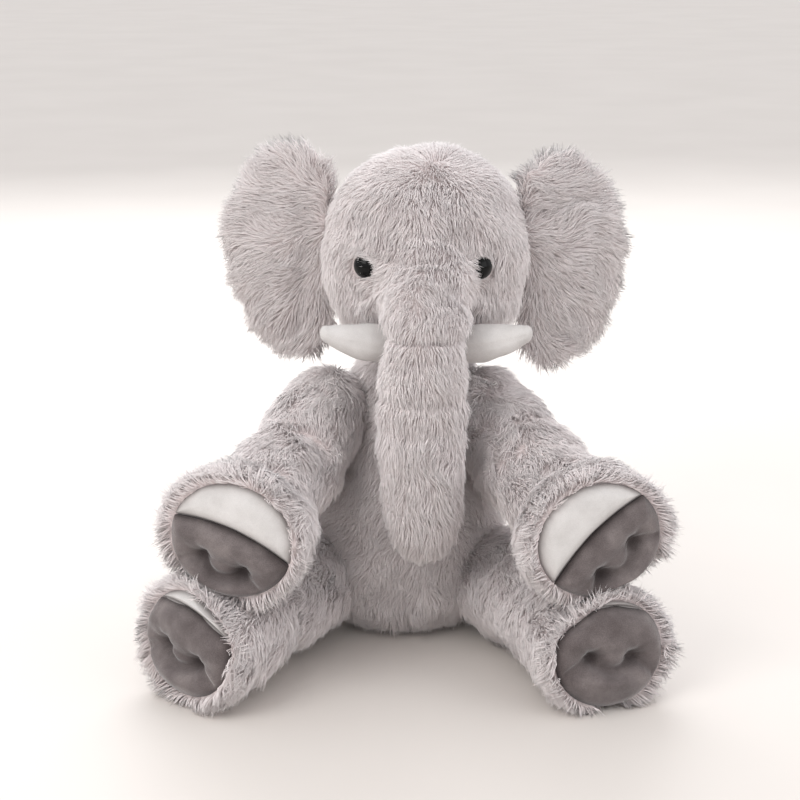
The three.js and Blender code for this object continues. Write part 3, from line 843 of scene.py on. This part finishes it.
def half_disc(limb, toe):
    """The outline of the toe panel or the sole pad: an ellipse cut by the bowed seam."""
    radius, flat = limb["sole_r"] - 1.0, limb["flat"]
    turn = np.linspace(0, 2 * math.pi, 720, endpoint=False)
    ring = np.column_stack([radius * np.cos(turn), radius * flat * np.sin(turn)])
    way = math.radians(limb["toe_angle"])
    toward = np.array([math.cos(way), math.sin(way)])
    seam = limb["toe"] * limb["sole_r"] * flat
    across = np.array([toward[1], -toward[0]])
    half = math.sqrt((limb["sole_r"] * flat) ** 2 - seam**2)

    def line(at):
        return seam + limb["bow"] * (1 - (at / half) ** 2)

    beyond = ring @ toward - line(ring @ across)
    side = beyond > SEAM_GAP if toe else beyond < -SEAM_GAP
    start = np.flatnonzero(side & ~np.roll(side, 1))[0]
    arc = np.roll(ring, -start, axis=0)[: side.sum()]
    chord = np.linspace(arc[-1], arc[0], 60)[1:-1]
    bowed = line(chord @ across) + (SEAM_GAP if toe else -SEAM_GAP) - chord @ toward
    chord = chord + toward * bowed[:, None]
    loop = np.vstack([arc, chord, arc[:1]])
    return spaced(loop, 161)[:-1], toward, seam


STITCH_X = 17.5  # from the middle of a dark pad to each of its two stitches
STITCH_DEPTH = 15.0
PULL_LIMIT = 14.0


def pad_height(limb, toward, seam, toe, outline, shade):
    """Front height of a panel over its sole: crowned, rolled under at its edges, and on the dark pad
    quilted by two pulled stitches with a gathered fold between them. shade gathers the painted shade
    along the panel's edge and in the pulled dimples and folds."""
    radius = limb["sole_r"]
    across = np.array([toward[1], -toward[0]])
    low = -radius * limb["flat"]
    middle = (low + seam) / 2 + 3
    seed = 11 + int(limb["toe_angle"])

    def fold(flat, points, depth, width):
        line = spaced(catmull(points, 60), 60)
        gap = np.linalg.norm(flat[:, None] - line[None], axis=2)
        return depth * bump(gap.min(1), width)

    def front(flat, share):
        edge = np.linalg.norm(flat[:, None] - outline[None], axis=2).min(1)
        roll = 1 - np.minimum(edge / 9.0, 1)
        height = (SOLE_DOME + 2) * (1 - dot(flat, flat) / radius**2) + 1.5 - 7.5 * roll**2.2
        # painted shade in a narrow band along the panel's edge, where it rolls under
        shade.append(bump(edge, 2.2))
        if toe:
            return height + 1.6 * smoothstep(edge, 3, 14)
        local = np.column_stack([flat @ across, flat @ toward - middle])
        pull = 0
        for sign in (-1, 1):
            spot = np.array([STITCH_X * sign, 0.0])
            away = np.linalg.norm(local - spot, axis=1)
            pull = pull + STITCH_DEPTH * bump(away, 6.0) + 4.5 * bump(away, 14.0)
            angle = np.arctan2(local[:, 1], local[:, 0] - spot[0])
            rays = np.cos(7 * angle + seed) * np.exp(-((away - 8) / 7.0) ** 2)
            height = height + 0.55 * rays
            outer = [spot, spot + (8 * sign, -3.5), spot + (17 * sign, -10), spot + (26 * sign, -19)]
            pull = pull + fold(local, outer, 6.0, 3.8)
        smile = [(-STITCH_X, 0), (-10, -7), (0, -10), (10, -7), (STITCH_X, 0)]
        pull = pull + fold(local, smile, 11.0, 4.6)
        puff = 5.5 * bump(local[:, 1] + 20, 9) * bump(local[:, 0], 22) + 3.0 * smoothstep(local[:, 1], 2, 14)
        pull = PULL_LIMIT * (1 - np.exp(-pull / PULL_LIMIT))
        # painted shade, deeper where the stitches pull the pad in
        shade[-1] = np.maximum(shade[-1], np.clip((pull - 3) / 9.0, 0, 1) ** 1.5)
        return height + puff * smoothstep(edge, 1, 12) - pull * smoothstep(edge, 0, 7)

    return front


def sole_panels(name, limb, path):
    made = []
    for part, toe in (("toe_panel", True), ("sole_pad", False)):
        outline, toward, seam = half_disc(limb, toe)
        middle = outline.mean(0)
        shade = []
        front = pad_height(limb, toward, seam, toe, outline, shade)
        edge_height = front(outline, 1.0)
        shade.clear()

        def back(flat, share, edge=edge_height):
            return edge * share**2 - 8.0 * (1 - share**2)

        rings = pillow_rings(outline, middle, front, back, 34)
        rings[..., 2] += path.length
        rings = pressed(path.place(rings), limb, name, 0.0 if name.startswith("arm") else PRESS_LEG_PANELS)
        obj = facing_out(skin(f"{name}_{part}_cloth", rings))
        # painted shade per point: the front's creases and edge, and full shade on the back
        depth = np.ones(len(obj.data.vertices), np.float32)
        crease_shade = np.concatenate(shade[1:])
        depth[: len(crease_shade)] = crease_shade
        depth[-2] = shade[0].mean()
        obj.data.attributes.new("crease_shade", "FLOAT", "POINT").data.foreach_set("value", depth)
        look, slot = (WHITE, "white_short_nap") if toe else (DARK, "dark_short_nap")
        finish_piece(obj, name, look, [f"{name}_{part}"])
        made.append(obj)
    return made


# ---------------------------------------------------------------- head and trunk


def head_rings(inset):
    half = HEAD_HALF - inset
    turn = np.linspace(0, math.pi, 40)
    out = np.sin(turn) ** (2 / HEAD_POWER)
    up = np.sign(np.cos(turn)) * np.abs(np.cos(turn)) ** (2 / HEAD_POWER)
    profile = np.column_stack([half[0] * out, half[2] * up])[::-1]
    profile[[0, -1], 0] = 0
    rings = turned(profile, 64)
    rings[..., 1] *= half[1] / half[0]
    return rings + HEAD


def head_front(sideways, up):
    """A point on the front of the head and its outward normal."""
    raised = abs(up / HEAD_HALF[2])
    ring = (1 - raised**HEAD_POWER) ** (1 / HEAD_POWER)
    deep = math.sqrt(ring**2 - (sideways / HEAD_HALF[0]) ** 2)
    point = np.array([sideways, -deep * HEAD_HALF[1], up])
    slope = math.copysign(raised ** (HEAD_POWER - 1), up) / HEAD_HALF[2]
    normal = np.array([point[0] / HEAD_HALF[0] ** 2, point[1] / HEAD_HALF[1] ** 2, slope])
    return point + HEAD, unit(normal)


TRUNK_BEND = (17, -106, 292)
UPPER_LINE = [(18, -50, 340), (18, -84, 316), TRUNK_BEND, TRUNK_JOINTS[0], (15.5, -112.5, 240)]
UPPER_PATH = Path(catmull(UPPER_LINE, 120), (1, 0, 0))
LOWER_LINE = [TRUNK_BEND, TRUNK_JOINTS[0], TRUNK_JOINTS[1], (15, -116.5, 160), TRUNK_TIP]
LOWER_PATH = Path(catmull(LOWER_LINE, 120), (1, 0, 0))


def upper_trunk_rings():
    """The trunk length that belongs to the head, wider where it leaves the face."""
    z = np.linspace(0, UPPER_PATH.length - 16, 44)
    left = UPPER_PATH.length - z
    radius = np.interp(left, [16, 40, 66, 110, 140], [29.5, 31.5, 33.5, 37, 33]) - SKIN_INSET
    rings = turned(ended(radius, z, 2, 2), TRUNK_SIDES)
    rings[..., 0] *= 1 + 0.16 * smoothstep(UPPER_PATH.length - rings[..., 2], 40, 100)
    return UPPER_PATH.place(rings)


def trunk_rings(top, bottom, round_tip):
    """A trunk length along the lower path from one height to another, with round ends."""
    z = np.linspace(0, LOWER_PATH.length, 400)
    heights = LOWER_PATH.frame(z)[0][:, 2]
    start = np.interp(-top, -heights, z)
    end = LOWER_PATH.length if round_tip else np.interp(-bottom, -heights, z)
    at = np.linspace(start, end, 60)
    left = LOWER_PATH.length - at
    radius = np.interp(left, [0, 2, 6, 13, 22, 34, 52, 80], [0, 11, 17.5, 22.5, 26, 28.5, 30.5, TRUNK_R])
    if not round_tip:
        radius = TRUNK_R * rounded(at - end + 14, 15)
    radius = radius * rounded(start + 18 - at, 19)
    level = LOWER_PATH.frame(at)[0][:, 2]
    for tuck in TRUNK_JOINTS[:, 2]:
        radius = radius * (1 - 0.07 * bump(level - tuck, 5))
    radius = np.maximum(radius - SKIN_INSET + 2.0, 0.5)
    return LOWER_PATH.place(turned(ended(radius, at, 0.5, 0.3), TRUNK_SIDES))


def eye_places():
    for side, sign in SIDES:
        yield side, sign, *head_front(EYE_MIDDLE + sign * EYE_SPACING / 2, EYE_LIFT)


def placed(rings, origin, way):
    """Rings along Z, moved to an origin and turned to a direction."""
    way = unit(way)
    side = unit(np.cross([0, 0, 1.0], way)) if abs(way[2]) < 0.95 else np.array([1.0, 0, 0])
    rise = np.cross(way, side)
    return origin + rings[..., :1] * side + rings[..., 1:2] * rise + rings[..., 2:] * way


def head_skin():
    head = facing_out(skin("head_part", head_rings(SKIN_INSET)))
    trunk = facing_out(skin("trunk_part", upper_trunk_rings()))
    return fused("head_skin", [head, trunk], HEAD_VOXEL, 5)


def head_tucks(obj):
    """Seams across the trunk and the dents in which the eyes sit."""
    points, normals = coords(obj), normals_of(obj)
    front = points[:, 1] < -60
    tuck = bump(points[:, 2] - 343, 3.5) * bump(points[:, 0] - 17, 34) * 3.0
    tuck += bump(points[:, 2] - 286, 3.5) * 4.0 * (points[:, 1] < -100)
    points = points - normals * (tuck * front)[:, None]
    for _, _, place, way in eye_places():
        away = np.linalg.norm(points - place, axis=1)
        points = points - way * (EYE_DENT * bump(away, 12))[:, None]
    set_coords(obj, points)


def tusk(side, sign):
    """A blunt cloth cone that curves up, with a seam line above and below and slight wrinkles."""
    start = np.array([HEAD[0] + sign * TUSK_SIDEWAYS, TUSK_Y, TUSK_Z])
    way = unit([sign * 0.96, -0.20, 0.12])
    swell, taper = (TUSK_R + 0.8, 2), (12.2, 27)
    outline = [(TUSK_R, -TUSK_ROOT), swell, (TUSK_R, 14), taper, (9.2, 38), (TUSK_TIP_R, TUSK_L - 5)]
    profile = catmull(outline, 40)
    turn = np.linspace(0, math.pi / 2, 8)[1:-1]
    cap = np.column_stack([TUSK_TIP_R * np.cos(turn), TUSK_L - 5 + 6 * np.sin(turn)])
    profile = np.vstack([[0, -TUSK_ROOT - 0.5], profile, cap, [0, TUSK_L + 1]])
    rings = turned(profile, 40)
    share = np.clip(rings[..., 2] / TUSK_L, 0, 1)
    turn = np.arctan2(rings[..., 1], rings[..., 0])
    for seam in (0.0, math.pi):
        gap = np.angle(np.exp(1j * (turn - seam)))
        rings[..., :2] *= (1 - 0.05 * bump(gap, 0.12))[..., None]
    wrinkle = 0.45 * wobble(rings.reshape(-1, 3), 19, 70 + sign).reshape(turn.shape)
    rings[..., :2] *= (1 + wrinkle / TUSK_R)[..., None]
    rings = placed(rings, start, way)
    rings[..., 2] += TUSK_CURVE * share**2 - 1.5
    return skin(f"tusk_{side}_cloth", rings)


def eye(side, place, way):
    """A flattened dome with a short stem behind it."""
    turn = np.linspace(0, math.pi / 2, 14)
    dome = np.column_stack([EYE_R * np.cos(turn), EYE_H * np.sin(turn)])
    stem = [(0, -9.8), (2, -9.8), (2, -0.6), (EYE_R * 0.9, -0.5), (EYE_R * 0.985, -0.25)]
    rings = placed(turned(np.vstack([stem, dome]), 40), place - way * EYE_SUNK, way)
    return skin(f"eye_{side}_dome", rings)


# ---------------------------------------------------------------- ears


def ear_rings(side, sign):
    """A cupped pillow: its outline is drawn from the ear's seam, outwards and up."""
    lower = [(-13, -34), (-9, -70), (14, -90), (50, -77), (EAR_REACH - 11, -36), (EAR_REACH - 2, 16)]
    upper = [(EAR_REACH - 23, 64), (26, 88), (-9, 76), (-13, 40), (-15, 2)]
    loop = catmull(lower + upper, 400, closed=True) * EAR_SCALE
    loop = spaced(np.vstack([loop, loop[:1]]), 129)[:-1]
    middle = np.array([34.0, 0.0])

    def surface(flat, share):
        puff = EAR_PUFF * np.sqrt(np.clip(1 - share**2.6, 0, 1))
        puff = puff * (1 - 0.30 * bump(flat[:, 0] + 4, 12) * smoothstep(share, 0.3, 0.9))
        return np.maximum(puff, 0.05)

    def cup(flat):
        out = np.clip(flat[:, 0] / EAR_REACH, 0, 1)
        wave = 1.6 * np.sin(flat[:, 1] / 21 + (0.5 if side == "left" else 2.0)) * smoothstep(out, 0.3, 1)
        lean = -2.5 * out**2 + wave
        if side == "left":
            line = flat[:, 1] - (44 + 0.22 * flat[:, 0])
            lean = lean + 5.0 * bump(line, 7) * smoothstep(84 - flat[:, 0], 0, 30)
        else:
            line = flat[:, 0] - (6 - 0.12 * flat[:, 1])
            lean = lean + 4.0 * bump(line, 7) * smoothstep(80 - abs(flat[:, 1]), 0, 30)
        return lean

    def face(way):
        return lambda flat, share: cup(flat) + way * surface(flat, share)

    rings = pillow_rings(loop, middle, face(-1), face(1), 26)
    local = np.stack([sign * rings[..., 0], rings[..., 2], rings[..., 1]], -1)
    sweep = math.radians(sign * EAR_SWEEP)
    x = local[..., 0] * math.cos(sweep) - local[..., 1] * math.sin(sweep)
    y = local[..., 0] * math.sin(sweep) + local[..., 1] * math.cos(sweep)
    seam = HEAD + np.array([sign * (HEAD_HALF[0] + EAR_GAP), EAR_BACK, EAR_LIFT[side]])
    return np.stack([x, y, local[..., 2]], -1) + seam, seam


# ---------------------------------------------------------------- the skins


def add_skin(name, obj, body, replaced, blend=None):
    facing_out(obj)
    remember(name, obj)
    finish_piece(obj, body, BACKING, replaced, blend)


def parts_of(name, *kinds):
    return [f"{name}_{kind}" for kind in kinds]


def across_joint(joint, upper, lower):
    """The blend of a trunk length that bends at a joint: two bodies, and where it starts and ends."""
    middle, half = TRUNK_JOINTS[joint], np.array([0, 0, BEND_HALF])
    return upper, lower, tuple((middle + half) * MM), tuple((middle - half) * MM)


MIDDLE_BLEND = across_joint(0, "head", "trunk_middle")
LOWER_BLEND = across_joint(1, "trunk_middle", "trunk_lower")

neck_profile = [(0, 212), (20, 213), (31, 222), (36, 236), (36, 256), (31, 270), (20, 279), (0, 280)]
neck_rings = turned(neck_profile, 40) + np.array([NECK[0], NECK[1], 0])


# How free each point of a skin is to swell, from 0, where it is held, to 1.


def torso_free(points):
    return smoothstep(points[:, 2], 5, 30)


def head_free(points):
    free = 1 - bump(np.linalg.norm(points - NECK, axis=1), 40)
    for _, _, place, _ in eye_places():
        free = free * (1 - bump(np.linalg.norm(points - place, axis=1), 16))
    return free * smoothstep(np.linalg.norm(points - TRUNK_JOINTS[0], axis=1), 34, 60)


def trunk_free(points):
    free = np.ones(len(points))
    for joint in TRUNK_JOINTS:
        free = free * smoothstep(np.abs(points[:, 2] - joint[2]), 12, 26)
    return free


def limb_free(name):
    limb = LIMBS[name]
    root, foot, facing = limb["root"], limb["foot"], limb["facing"]

    def free(points):
        level = clear_of_press(name, points)
        sole = smoothstep((foot - points) @ facing, 10, 34)
        ground = smoothstep(points[:, 2], 4, 20)
        seam = smoothstep(np.linalg.norm(points - root, axis=1), 30, 70)
        return seam * sole * ground * smoothstep(level, 3, 20)

    return free


def ear_free(seam, sign):
    return lambda points: smoothstep(sign * (points[:, 0] - seam[0]), -6, 20)


paths = {}
skins = {"torso": (torso_skin(), torso_free), "head": (head_skin(), head_free)}
skins["trunk_middle"] = (skin("trunk_middle_skin", trunk_rings(279, 194, False)), trunk_free)
skins["trunk_lower"] = (skin("trunk_lower_skin", trunk_rings(228, 0, True)), trunk_free)
for name, limb in LIMBS.items():
    obj, paths[name] = limb_skin(name, limb)
    skins[name] = (obj, limb_free(name))
for side, sign in SIDES:
    rings, seam = ear_rings(side, sign)
    skins[f"ear_{side}"] = (skin(f"ear_{side}_skin", rings), ear_free(seam, sign))
for obj, _ in skins.values():
    facing_out(obj)
stuffed(skins.values())

torso = skins["torso"][0]
torso_seam(torso)
lumps(torso, 52, 1.4, 21, lambda p: smoothstep(p[:, 2], 6, 40))
add_skin("torso", torso, "torso", parts_of("torso", "cover", "filling"))

head = skins["head"][0]
head_tucks(head)
lumps(head, 48, 1.3, 22)
head_nodes = parts_of("head", "cover", "filling") + parts_of("trunk_upper", "cover", "filling")
add_skin("head", head, "head", head_nodes)

add_skin("neck", skin("neck_skin", neck_rings), "neck", ["neck_filling"])
for name, blend in (("trunk_middle", MIDDLE_BLEND), ("trunk_lower", LOWER_BLEND)):
    add_skin(name, skins[name][0], name, parts_of(name, "cover", "filling"), blend)

for name, limb in LIMBS.items():
    obj = skins[name][0]
    lumps(obj, 44, 1.5, 30 + len(name), lambda p, name=name: smoothstep(clear_of_press(name, p), 2, 14))
    add_skin(name, obj, name, parts_of(name, "cover", "filling"))
    for panel in sole_panels(name, limb, paths[name]):
        remember(panel.name, panel)

for side, sign in SIDES:
    layers = [f"ear_{k}_{side}" for k in ("front_panel", "wadding", "back_panel")]
    add_skin(f"ear_{side}", skins[f"ear_{side}"][0], f"ear_{side}", layers)
    obj = facing_out(tusk(side, sign))
    remember(f"tusk_{side}", obj)
    finish_piece(obj, "head", WHITE, [f"tusk_cover_{side}", f"tusk_filling_{side}"])

for side, sign, place, way in eye_places():
    finish_piece(facing_out(eye(side, place, way)), "head", EYE, [f"eye_{side}"])

tail_line = Path([TAIL_ROOT - 6 * unit(TAIL_WAY), TAIL_ROOT + TAIL_L * unit(TAIL_WAY)], (1, 0, 0))
stem_z = np.linspace(0, TAIL_L + 6, 24)
stem_r = (TAIL_R - 2) * rounded(stem_z - TAIL_L, 6.5, 0.05)
stem = turned(ended(stem_r, stem_z, 0.5, 0.3), 20)
add_skin("tail_stem", skin("tail_stem_skin", tail_line.place(stem)), "tail", ["tail_stem"])
tuft_z = np.linspace(0, TUFT_L - 8, 16)
tuft_r = np.interp(tuft_z, [0, 8, 13, 18], [3.0, 5.0, 4.0, 1.5])
tuft = turned(ended(tuft_r, tuft_z, 0.5, 1), 18)
tuft_start = TAIL_ROOT + (TAIL_L + TAIL_R / 2) * unit(TAIL_WAY)
add_skin("tail_tuft", skin("tail_tuft_skin", placed(tuft, tuft_start, TAIL_WAY)), "tail", ["tail_tuft"])

for node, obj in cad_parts.items():
    if not obj.hide_render:
        obj.data.materials.clear()
        obj.data.materials.append(WASHER if "washer" in node else THREAD)

# ---------------------------------------------------------------- the pile on each skin


CROWN = HEAD + np.array([3, -24, 62])  # the head's pile is combed away from here
PARTING = np.array([0.45, 1, 1])  # wide from side to side


def comb_torso(place, normal):
    return np.array([0, 0, -1.0]) + 0.25 * unit(place * [1, 1, 0])


def inner_side(place, sign, spot):
    """How much a place is on the nose's side of an eye, where the pile falls over the eye."""
    offset = place - spot
    return bump(offset[:, 0] + sign * 10, 10) * bump(offset[:, 2], 12) * bump(offset[:, 1], 30)


def comb_head(place, normal):
    way = unit((place - CROWN) * PARTING) + np.array([0, 0, -0.35])
    for _, sign, spot, _ in eye_places():
        way = way + np.outer(6 * inner_side(place, sign, spot), [sign, 0, 0])
    return way


def head_lying(place):
    """The pile stands up along the parting on top of the head, and a little beside the right eye."""
    away = np.linalg.norm((place - CROWN) * PARTING, axis=1)
    top = smoothstep(place[:, 2] - HEAD[2], 40, 70)
    lying = 1 + 0.15 * top - 0.35 * top * bump(away - 20, 10)
    for _, sign, spot, _ in eye_places():
        if sign < 0:
            lying = lying * (1 - 0.25 * bump(place[:, 0] - spot[0] - 12, 5) * inner_side(place, sign, spot))
    return lying


def comb_trunk(place, normal):
    out = place - LOWER_PATH.frame(np.full(len(place), 60.0))[0]
    out[:, 2] = 0
    return np.array([0, 0, -1.0]) + 0.12 * unit(out)


def along_limb(name, place):
    """The limb's direction at each place, by the nearest point of its centre line."""
    path = paths[name]
    away = np.linalg.norm(place[:, None] - path.points[None, ::4], axis=2)
    return path.frame(path.reach[::4][away.argmin(1)])[3]


def comb_limb(name):
    foot, facing = LIMBS[name]["foot"], LIMBS[name]["facing"]

    def comb(place, normal):
        along = along_limb(name, place)
        out = place - foot
        out = unit(out - facing * (out @ facing)[:, None])
        rim = smoothstep(normal @ facing, 0.25, 0.7)[:, None]
        near = smoothstep((place - foot) @ facing, -30, -4)[:, None]
        flow = along * 0.75 + np.array([0, 0, -0.45]) * (1 - near) + out * 0.2 * near
        return flow * (1 - rim) + (out + 0.1 * facing) * rim

    return comb


def rim_lying(name):
    """The fringe round a sole stands up."""
    limb = LIMBS[name]
    foot, facing = limb["foot"], limb["facing"]

    def lying(place):
        offset = place - foot
        radius = np.linalg.norm(offset - (offset @ facing)[:, None] * facing, axis=1)
        front = smoothstep(offset @ facing, -16, -4)
        return 1 - 0.4 * front * (1 - smoothstep(radius, limb["sole_r"] - 1, limb["sole_r"] + 6))

    return lying


def forwards(name):
    """The way of pile that meets the other foot: out between the two, and a little away from it."""
    facing, level = LIMBS[name]["facing"], press_normal(LIMBS[name])
    return facing - level * (facing @ level) + level * (0.22 if name.startswith("arm") else -0.1)


def underneath(place, normal):
    return (normal[:, 2] < -0.9) & (place[:, 2] < 5)


def keep_limb(name):
    """No pile on the sole itself, and thin pile under the seat."""
    limb = LIMBS[name]
    foot, facing = limb["foot"], limb["facing"]
    _, side, rise, _ = paths[name].frame(np.array([paths[name].length]))

    def keep(place, normal):
        offset = place - foot
        x, y = offset @ side[0], offset @ rise[0] / limb["flat"]
        on_sole = (np.hypot(x, y) < limb["sole_r"] - 1.5) & (offset @ facing > -14)
        on_sole &= clear_of_press(name, place) > 3.5
        return np.where(on_sole, 0.0, np.where(underneath(place, normal), 0.35, 1.0))

    return keep


def from_eyes(place):
    """The distance from the bare places round the eyes, whose middles lie to the outside of them."""
    away = np.full(len(place), np.inf)
    for _, sign, spot, way in eye_places():
        offset = place - spot - np.array([EYE_BARE * sign, 0, 0])
        gap = np.linalg.norm(offset - (offset @ way)[:, None] * way, axis=1)
        away = np.minimum(away, np.where(place[:, 1] > -30, np.inf, gap))
    return away


def head_keep(place, normal):
    return np.where(from_eyes(place) > EYE_BARE, 1.0, 0.0)


def head_length(place):
    """Shorter on the face, round the eyes and above them."""
    shorter = 1 - 0.18 * bump(from_eyes(place) - EYE_BARE, 6)
    for _, sign, spot, _ in eye_places():
        offset = place - spot
        shorter = shorter * (1 - 0.25 * bump(offset[:, 2] - 15, 5) * bump(offset[:, 0] - 3 * sign, 8))
    face = smoothstep(-place[:, 1], 55, 85) * bump(place[:, 2] - 330, 70)
    return shorter * (1 - 0.10 * face)


def torso_keep(place, normal):
    return np.where(underneath(place, normal), 0.3, 1.0)


limbs = list(LIMBS)
around_head = ["torso", "trunk_middle", "neck", "tusk_left", "tusk_right"]
around_neck = ["torso", "head", "arm_left", "arm_right"]
thirds = ("_front", "_sides", "_back")

grow("torso_pile", "torso", "torso", comb_torso, 100, keep=torso_keep, blockers=limbs + ["head"],
     split=thirds)
grow("head_pile", "head", "head", comb_head, 120, length=FACE_PILE, swirl=0.4, keep=head_keep,
     scale=head_length, lying=head_lying, blockers=around_head, split=thirds)
grow("neck_pile", "neck", "neck", comb_torso, 140, length=NECK_PILE, blockers=around_neck)
grow("trunk_middle_pile", "trunk_middle", "trunk_middle", comb_trunk, 150, length=TRUNK_PILE,
     blockers=["head", "torso", "trunk_lower"], blend=MIDDLE_BLEND)
grow("trunk_lower_pile", "trunk_lower", "trunk_lower", comb_trunk, 160, length=TRUNK_PILE,
     blockers=["trunk_middle", "torso"], blend=LOWER_BLEND)
for i, name in enumerate(limbs):
    others = ["torso", "head"] + [n for n in limbs if n != name]
    grow(f"{name}_pile", name, name, comb_limb(name), 200 + 10 * i, lean=(50, 77), keep=keep_limb(name),
         lying=rim_lying(name), blockers=others, detour=forwards(name), split=("_foot", "_root"))
for side, sign, seed in (("left", 1, 300), ("right", -1, 310)):
    base = HEAD + np.array([sign * (HEAD_HALF[0] - 6), EAR_BACK, EAR_LIFT[side] + 12])

    def comb_ear(place, normal, base=base):
        return unit(place - base) + np.array([0, 0, -0.22])

    ear = f"ear_{side}"
    grow(f"{ear}_pile", ear, ear, comb_ear, seed, lean=(42, 66), blockers=["head"])


def comb_tail(place, normal):
    return np.broadcast_to(unit(TAIL_WAY), place.shape) + 0.0


grow("tail_stem_pile", "tail_stem", "tail", comb_tail, 400, spacing=1.6, length=10.0, lean=(50, 76),
     blockers=["torso"])
grow("tail_tuft_pile", "tail_tuft", "tail", comb_tail, 410, spacing=1.2, length=22.0, lean=(60, 84))

# ---------------------------------------------------------------- floor, light and camera

FLOOR_HALF = 12.0  # metres
CAMERA_AWAY = 1.5  # metres
CAMERA_HEIGHT = math.radians(16.0)

floor_mesh = bpy.data.meshes.new("floor")
corners = [(x * FLOOR_HALF, y * FLOOR_HALF, 0) for x, y in ((-1, -1), (1, -1), (1, 1), (-1, 1))]
floor_mesh.from_pydata(corners, [], [(0, 1, 2, 3)])
floor = linked("floor", floor_mesh)
floor_look, floor_tree, floor_shader = node_material("pale_floor")
floor_where = object_space(floor_tree)
floor_stops = [(0.3, (0.70, 0.66, 0.62)), (0.7, (0.73, 0.69, 0.65))]
floor_colour = ramp_node(floor_tree, noise_node(floor_tree, 3, 2, floor_where), floor_stops)
finish_look(floor_tree, floor_shader, floor_colour, {"Roughness": 0.6})
floor_mesh.materials.append(floor_look)

world = bpy.data.worlds.new("studio")
world.use_nodes = True
scene.world = world
scene.view_settings.view_transform = "Standard"
background = world.node_tree.nodes["Background"]
background.inputs["Color"].default_value = (0.97, 0.96, 0.975, 1)
background.inputs["Strength"].default_value = 1.0


def softbox(name, place, target, size, power, colour):
    light = bpy.data.lights.new(name, "AREA")
    light.shape = "RECTANGLE"
    light.size, light.size_y = size
    light.energy = power
    light.color = colour
    obj = linked(name, light)
    obj.location = place
    obj.rotation_euler = (Vector(target) - Vector(place)).to_track_quat("-Z", "Y").to_euler()


softbox("key", (-1.1, -1.3, 1.5), (0, 0, 0.22), (1.2, 1.2), 17, (1.0, 0.985, 0.97))
softbox("fill", (1.6, -1.2, 0.9), (0, 0, 0.2), (1.4, 1.2), 6, (0.98, 0.98, 1.0))
softbox("window", (-0.3, 1.9, 1.5), (0, 0, 0.25), (2.6, 1.3), 34, (0.97, 0.98, 1.0))

camera_data = bpy.data.cameras.new("camera")
camera = linked("camera", camera_data)
scene.camera = camera
camera_data.lens, camera_data.sensor_width = 76.7, 36.0
camera_data.clip_start, camera_data.clip_end = 0.05, 60
look_at = Vector((-0.0035, 0, 0.200))
camera_way = Vector((0, -math.cos(CAMERA_HEIGHT), math.sin(CAMERA_HEIGHT)))
camera.location = look_at + CAMERA_AWAY * camera_way
camera.rotation_euler = (look_at - camera.location).to_track_quat("-Z", "Y").to_euler()
